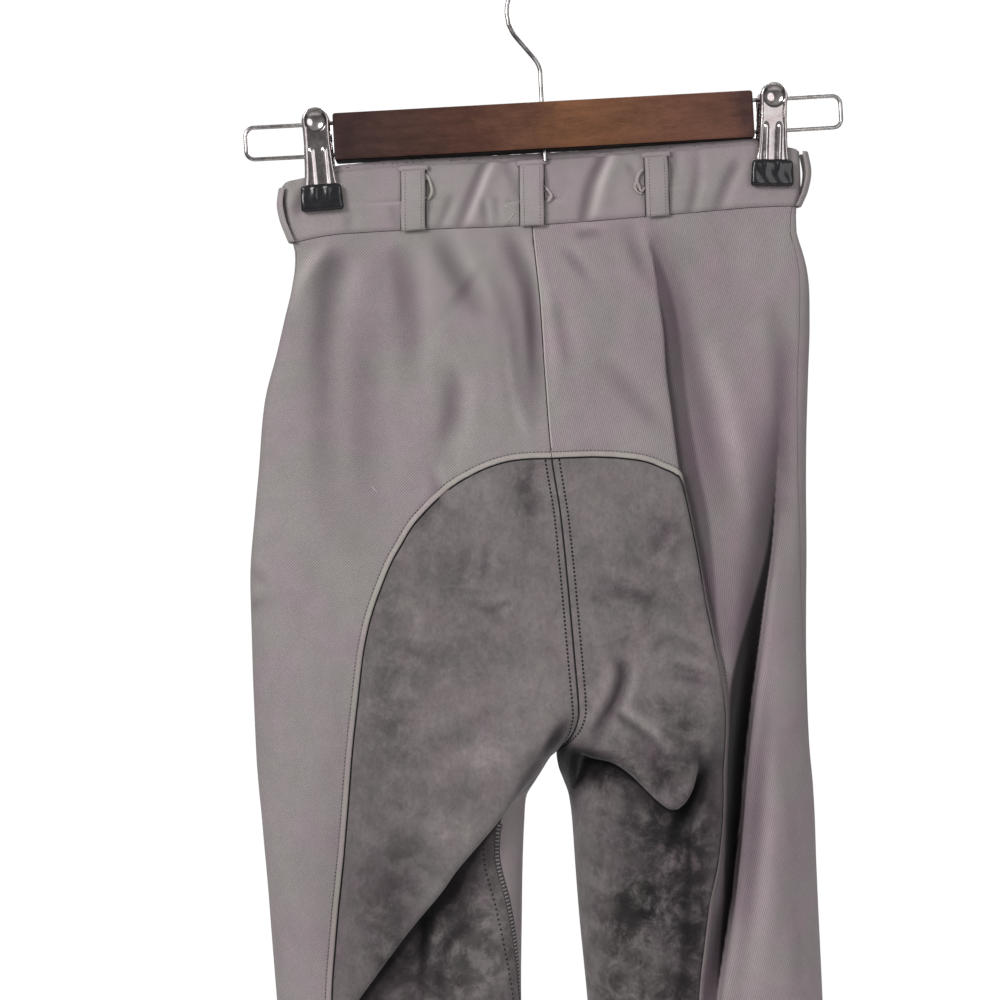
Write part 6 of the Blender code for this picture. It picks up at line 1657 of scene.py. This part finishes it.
# Centre back seam of the twill: a pale pressed ridge on its right, and the dark line of the seam.
strip("centre_back_ridge", along_seam("right", -148, -281, 0.75, -0.1), 1.25, 0.42, PALE_TWILL)
path = [(p - (0.17, 0, 0), n) for p, n in along_seam("right", -146.5, -456, 0.02, -0.1)]
on_twill = 91           # points of it above the patch
strip("centre_back_line", path[:on_twill], 0.55, 0.12, BLACK_THREAD_AND_SHADE)
strip("seat_seam_line", path[on_twill:], 1.05, 0.16, BLACK_THREAD_AND_SHADE)
# Stitches on the twill beside the piping, and a black strip on its other side, the piping's painted shadow.
for leg, shadow_reach in (("left", 800.0), ("right", 90.0)):
    middle, across, normal, run = trims[leg]
    sides = [[(m + a * shift + n * (CLOTH / 2 + out), n)
              for m, a, n, r in zip(middle, across, normal, run) if r <= stop]
             for shift, out, stop in ((-2.1, 0.02, 420), (1.95, 0, shadow_reach))]
    stitches(f"piping_stitch_{leg}", sides[0], 2.2, 1.3, 0.42, 0.14, BROWN_THREAD)
    strip(f"piping_shadow_{leg}", sides[1], 0.95, 0.16, BLACK_THREAD_AND_SHADE)
# Left inseam: an overlocked edge, with a dotted row beside it on the suede.
seam_z = np.arange(-500.5, -1050.0, -2.0)
path = on_back("left", inner_turn("left", seam_z, 0), seam_z)
strip("inseam_left_overlock", path, 3.6, 0.3, SEAM_THREAD)
stitches("inseam_left_rungs", [(p + n * 0.22, n) for p, n in path], 2.25, 2.7, 0.8, 0.3,
         RUNG_THREAD, across=True)
stitches("inseam_left_dots", on_back("left", inner_turn("left", seam_z, 7.8), seam_z, 0.02), 3, 1.2,
         1.15, 0.24, BLACK_THREAD_AND_SHADE)

# Frayed ends at the loops: a soft cord with a second ply and loose fibres about it.
for name, seed, route in TUFTS:
    cord = [(x, band_y(x, 1, reach=8) - lift, z) for x, z, lift in triples(route)]
    strand(f"tuft_{name}_cord", cord, 0.8, PALE_TWILL, 6)
    ply = [(x + 0.7, y - 0.3, z - 0.6) for x, y, z in cord[::-1]]
    strand(f"tuft_{name}_ply", ply, 0.6, PALE_TWILL, 6)
    draw = np.random.default_rng(seed)
    path = soft_path(cord, 6)
    for k in range(12):
        at = path[draw.integers(0, len(path) - 1)]
        way = draw.normal(0, 1, 3) * (1.3, 0.5, 1.5)
        strand(f"tuft_{name}_fibre_{k}",
               [at, at + way * 0.6 + (0, -0.5, 0), at + way * (1.1, 0.6, 1.3)], 0.2, PALE_THREAD, 3)
# Lint on the band and on the left hip.
for k, route in enumerate(LINT):
    x, z = np.array(route).T
    if z[0] > WAIST_Z:
        y = [band_y(a, 1, reach=8) - 0.5 for a in x]
    else:
        face = FACES["left", "back"]
        y = face.point(face.turn_of_x(x, z), z)[:, 1] - 0.95
    strand(f"lint_{k}", list(zip(x, y, z)), 0.3, PALE_THREAD)

# Strip of the band folded over the head of each loop, and the shade along the loop's edges.
for name, x, width, lean in BACK_LOOPS:
    name, half = f"belt_loop_back_{name}", width / 2
    y = band_y(x, half, 0.08)
    path = [((x + u - lean / 2, y - 0.2 - 1.5 * math.sqrt(max(0, 1 - (u / 9.6) ** 2)),
              float(BAND_TOP(x + u)) - 2.3 + 0.15 * math.sin(u)), BACKWARD)
            for u in np.linspace(-half - 1.6, half + 1.8, 15)]
    strip(f"{name}_head", path, 3.1, 0.75, TWILL_LOOP)
    top, foot = float(BAND_TOP(x)) - 3.5, float(BAND_FOOT(x)) + 0.5
    for side, u, wide in (("left", -1.0, 0.45), ("right", 1.0, 0.8)):
        path = [((x + u * (half + 0.3) + lean * (t - 0.5),
                  min(skin(x + u * half - 0.5, x + u * half + 0.5, 0.1 + 0.88 * t)
                      for skin in skins_at(x)) - 0.05, top + (foot - top) * t), BACKWARD)
                for t in np.linspace(0, 1, 24)]
        strip(f"{name}_edge_{side}", path, wide, 0.2, BLACK_THREAD_AND_SHADE)

# The band's inner layer stands a little above its fold, worn at the edge.
for leg, seed, skin, ends in (("left", 21, SKINS[0], (-131, -11.2)),
                              ("right", 22, SKINS[1], (-11.6, 131))):
    path = [((x, skin(x - 0.5, x + 0.5, 0.03) + 1.5,
              float(BAND_TOP(x)) + 1.35 + 0.16 * math.sin(x * 0.9) * math.sin(x * 0.37)), BACKWARD)
            for x in np.linspace(*ends, 90)]
    strip(f"band_facing_{leg}", path, 4.6, 0.5, TWILL_BAND)
    draw = np.random.default_rng(seed)
    for k in range(14):
        x, y, z = path[int(draw.integers(3, 82))][0]
        wide = float(draw.uniform(0.3, 1.1))
        strip(f"band_facing_{leg}_nick_{k}", [((x + wide * t, y - 0.42, z + 0.3 + 0.25 * t), BACKWARD)
                                              for t in (-1, 0, 1)], 0.4, 0.16, BLACK_THREAD_AND_SHADE)

for name, piece in sheets.items():
    kind = next(k for k in CUTS if name.startswith(k))
    flat, area, held, rests_on = CUTS[kind]
    leg = "left" if "left" in name else "right"
    true_area = sum(p.area for p in piece.data.polygons) / 2
    if kind in ("back_panel", "front_panel", "seat_patch"):
        area = round(true_area, 4)
    elif kind == "waistband":
        flat = (round(true_area / flat[1], 3), flat[1])


# ---------------------------------------------------------------------------- stage and camera

def area_light(name, place, target, size, power, colour):
    data = bpy.data.lights.new(name, "AREA")
    data.shape = "DISK"
    data.size = size
    data.energy = power
    data.color = colour
    item = bpy.data.objects.new(name, data)
    item.location = place
    item.rotation_euler = (Vector(target) - item.location).to_track_quat("-Z", "Y").to_euler()
    bpy.context.scene.collection.objects.link(item)


area_light("key", (-1.15, -1.35, 0.55), (-0.03, 0, -0.35), 0.8, 26.5, (1, 0.985, 0.985))
area_light("fill", (0.9, -1.6, -0.1), (-0.03, 0, -0.4), 1.3, 9.5, (0.985, 0.985, 1))
area_light("front", (0.5, 1.7, 0.4), (0, 0, -0.5), 1.3, 27, (1, 1, 1))

floor = bpy.data.meshes.new("floor")
floor.from_pydata([(-1.6, -1.6, -1.3), (1.6, -1.6, -1.3), (1.6, 1.6, -1.3), (-1.6, 1.6, -1.3)], [],
                  [(0, 1, 2, 3)])
floor_item = bpy.data.objects.new("floor", floor)
pale = Shader("pale_floor", Roughness=0.85)
pale.to("Base Color", pale.mix(pale.vary(pale.noise(pale.place(), 3), 0, 1),
                               (0.78, 0.78, 0.77), (0.84, 0.84, 0.83)))
floor.materials.append(pale.mat)
bpy.context.scene.collection.objects.link(floor_item)

world = bpy.data.worlds.new("studio")
bpy.context.scene.world = world
world.use_nodes = True
studio = world.node_tree


def join(kind, *values, **props):
    """A node of the studio's light, its first sockets filled in order."""
    made = studio.nodes.new(kind)
    for key, value in props.items():
        setattr(made, key, value)
    for socket, value in zip(made.inputs, values):
        if isinstance(value, bpy.types.NodeSocket):
            studio.links.new(value, socket)
        else:
            socket.default_value = value
    return made.outputs


way = join("ShaderNodeSeparateXYZ", join("ShaderNodeTexCoord")["Generated"])
above = join("ShaderNodeMapRange", way[2], -0.5, 0.9, 0.23, 0.48)[0]
room = join("ShaderNodeMapRange", way[1], 0.1, 0.9, 1, 0.45)[0]
room = join("ShaderNodeMath", above, room, operation="MULTIPLY")[0]
seen = join("ShaderNodeLightPath")["Is Camera Ray"]
power = join("ShaderNodeMapRange", seen, 0, 1, room, 1.02)[0]
backdrop = studio.nodes["Background"]
backdrop.inputs["Color"].default_value = (1, 1, 1, 1)
studio.links.new(power, backdrop.inputs["Strength"])

camera = bpy.data.objects.new("camera", bpy.data.cameras.new("camera"))
camera.data.sensor_width = 36
camera.data.lens = 36 / 0.595
camera.location = (-0.0379, -1, -0.3088)
camera.rotation_euler = (math.pi / 2, math.radians(3.15), 0)
bpy.context.scene.collection.objects.link(camera)
bpy.context.scene.camera = camera
bpy.context.scene.view_settings.view_transform = "Standard"
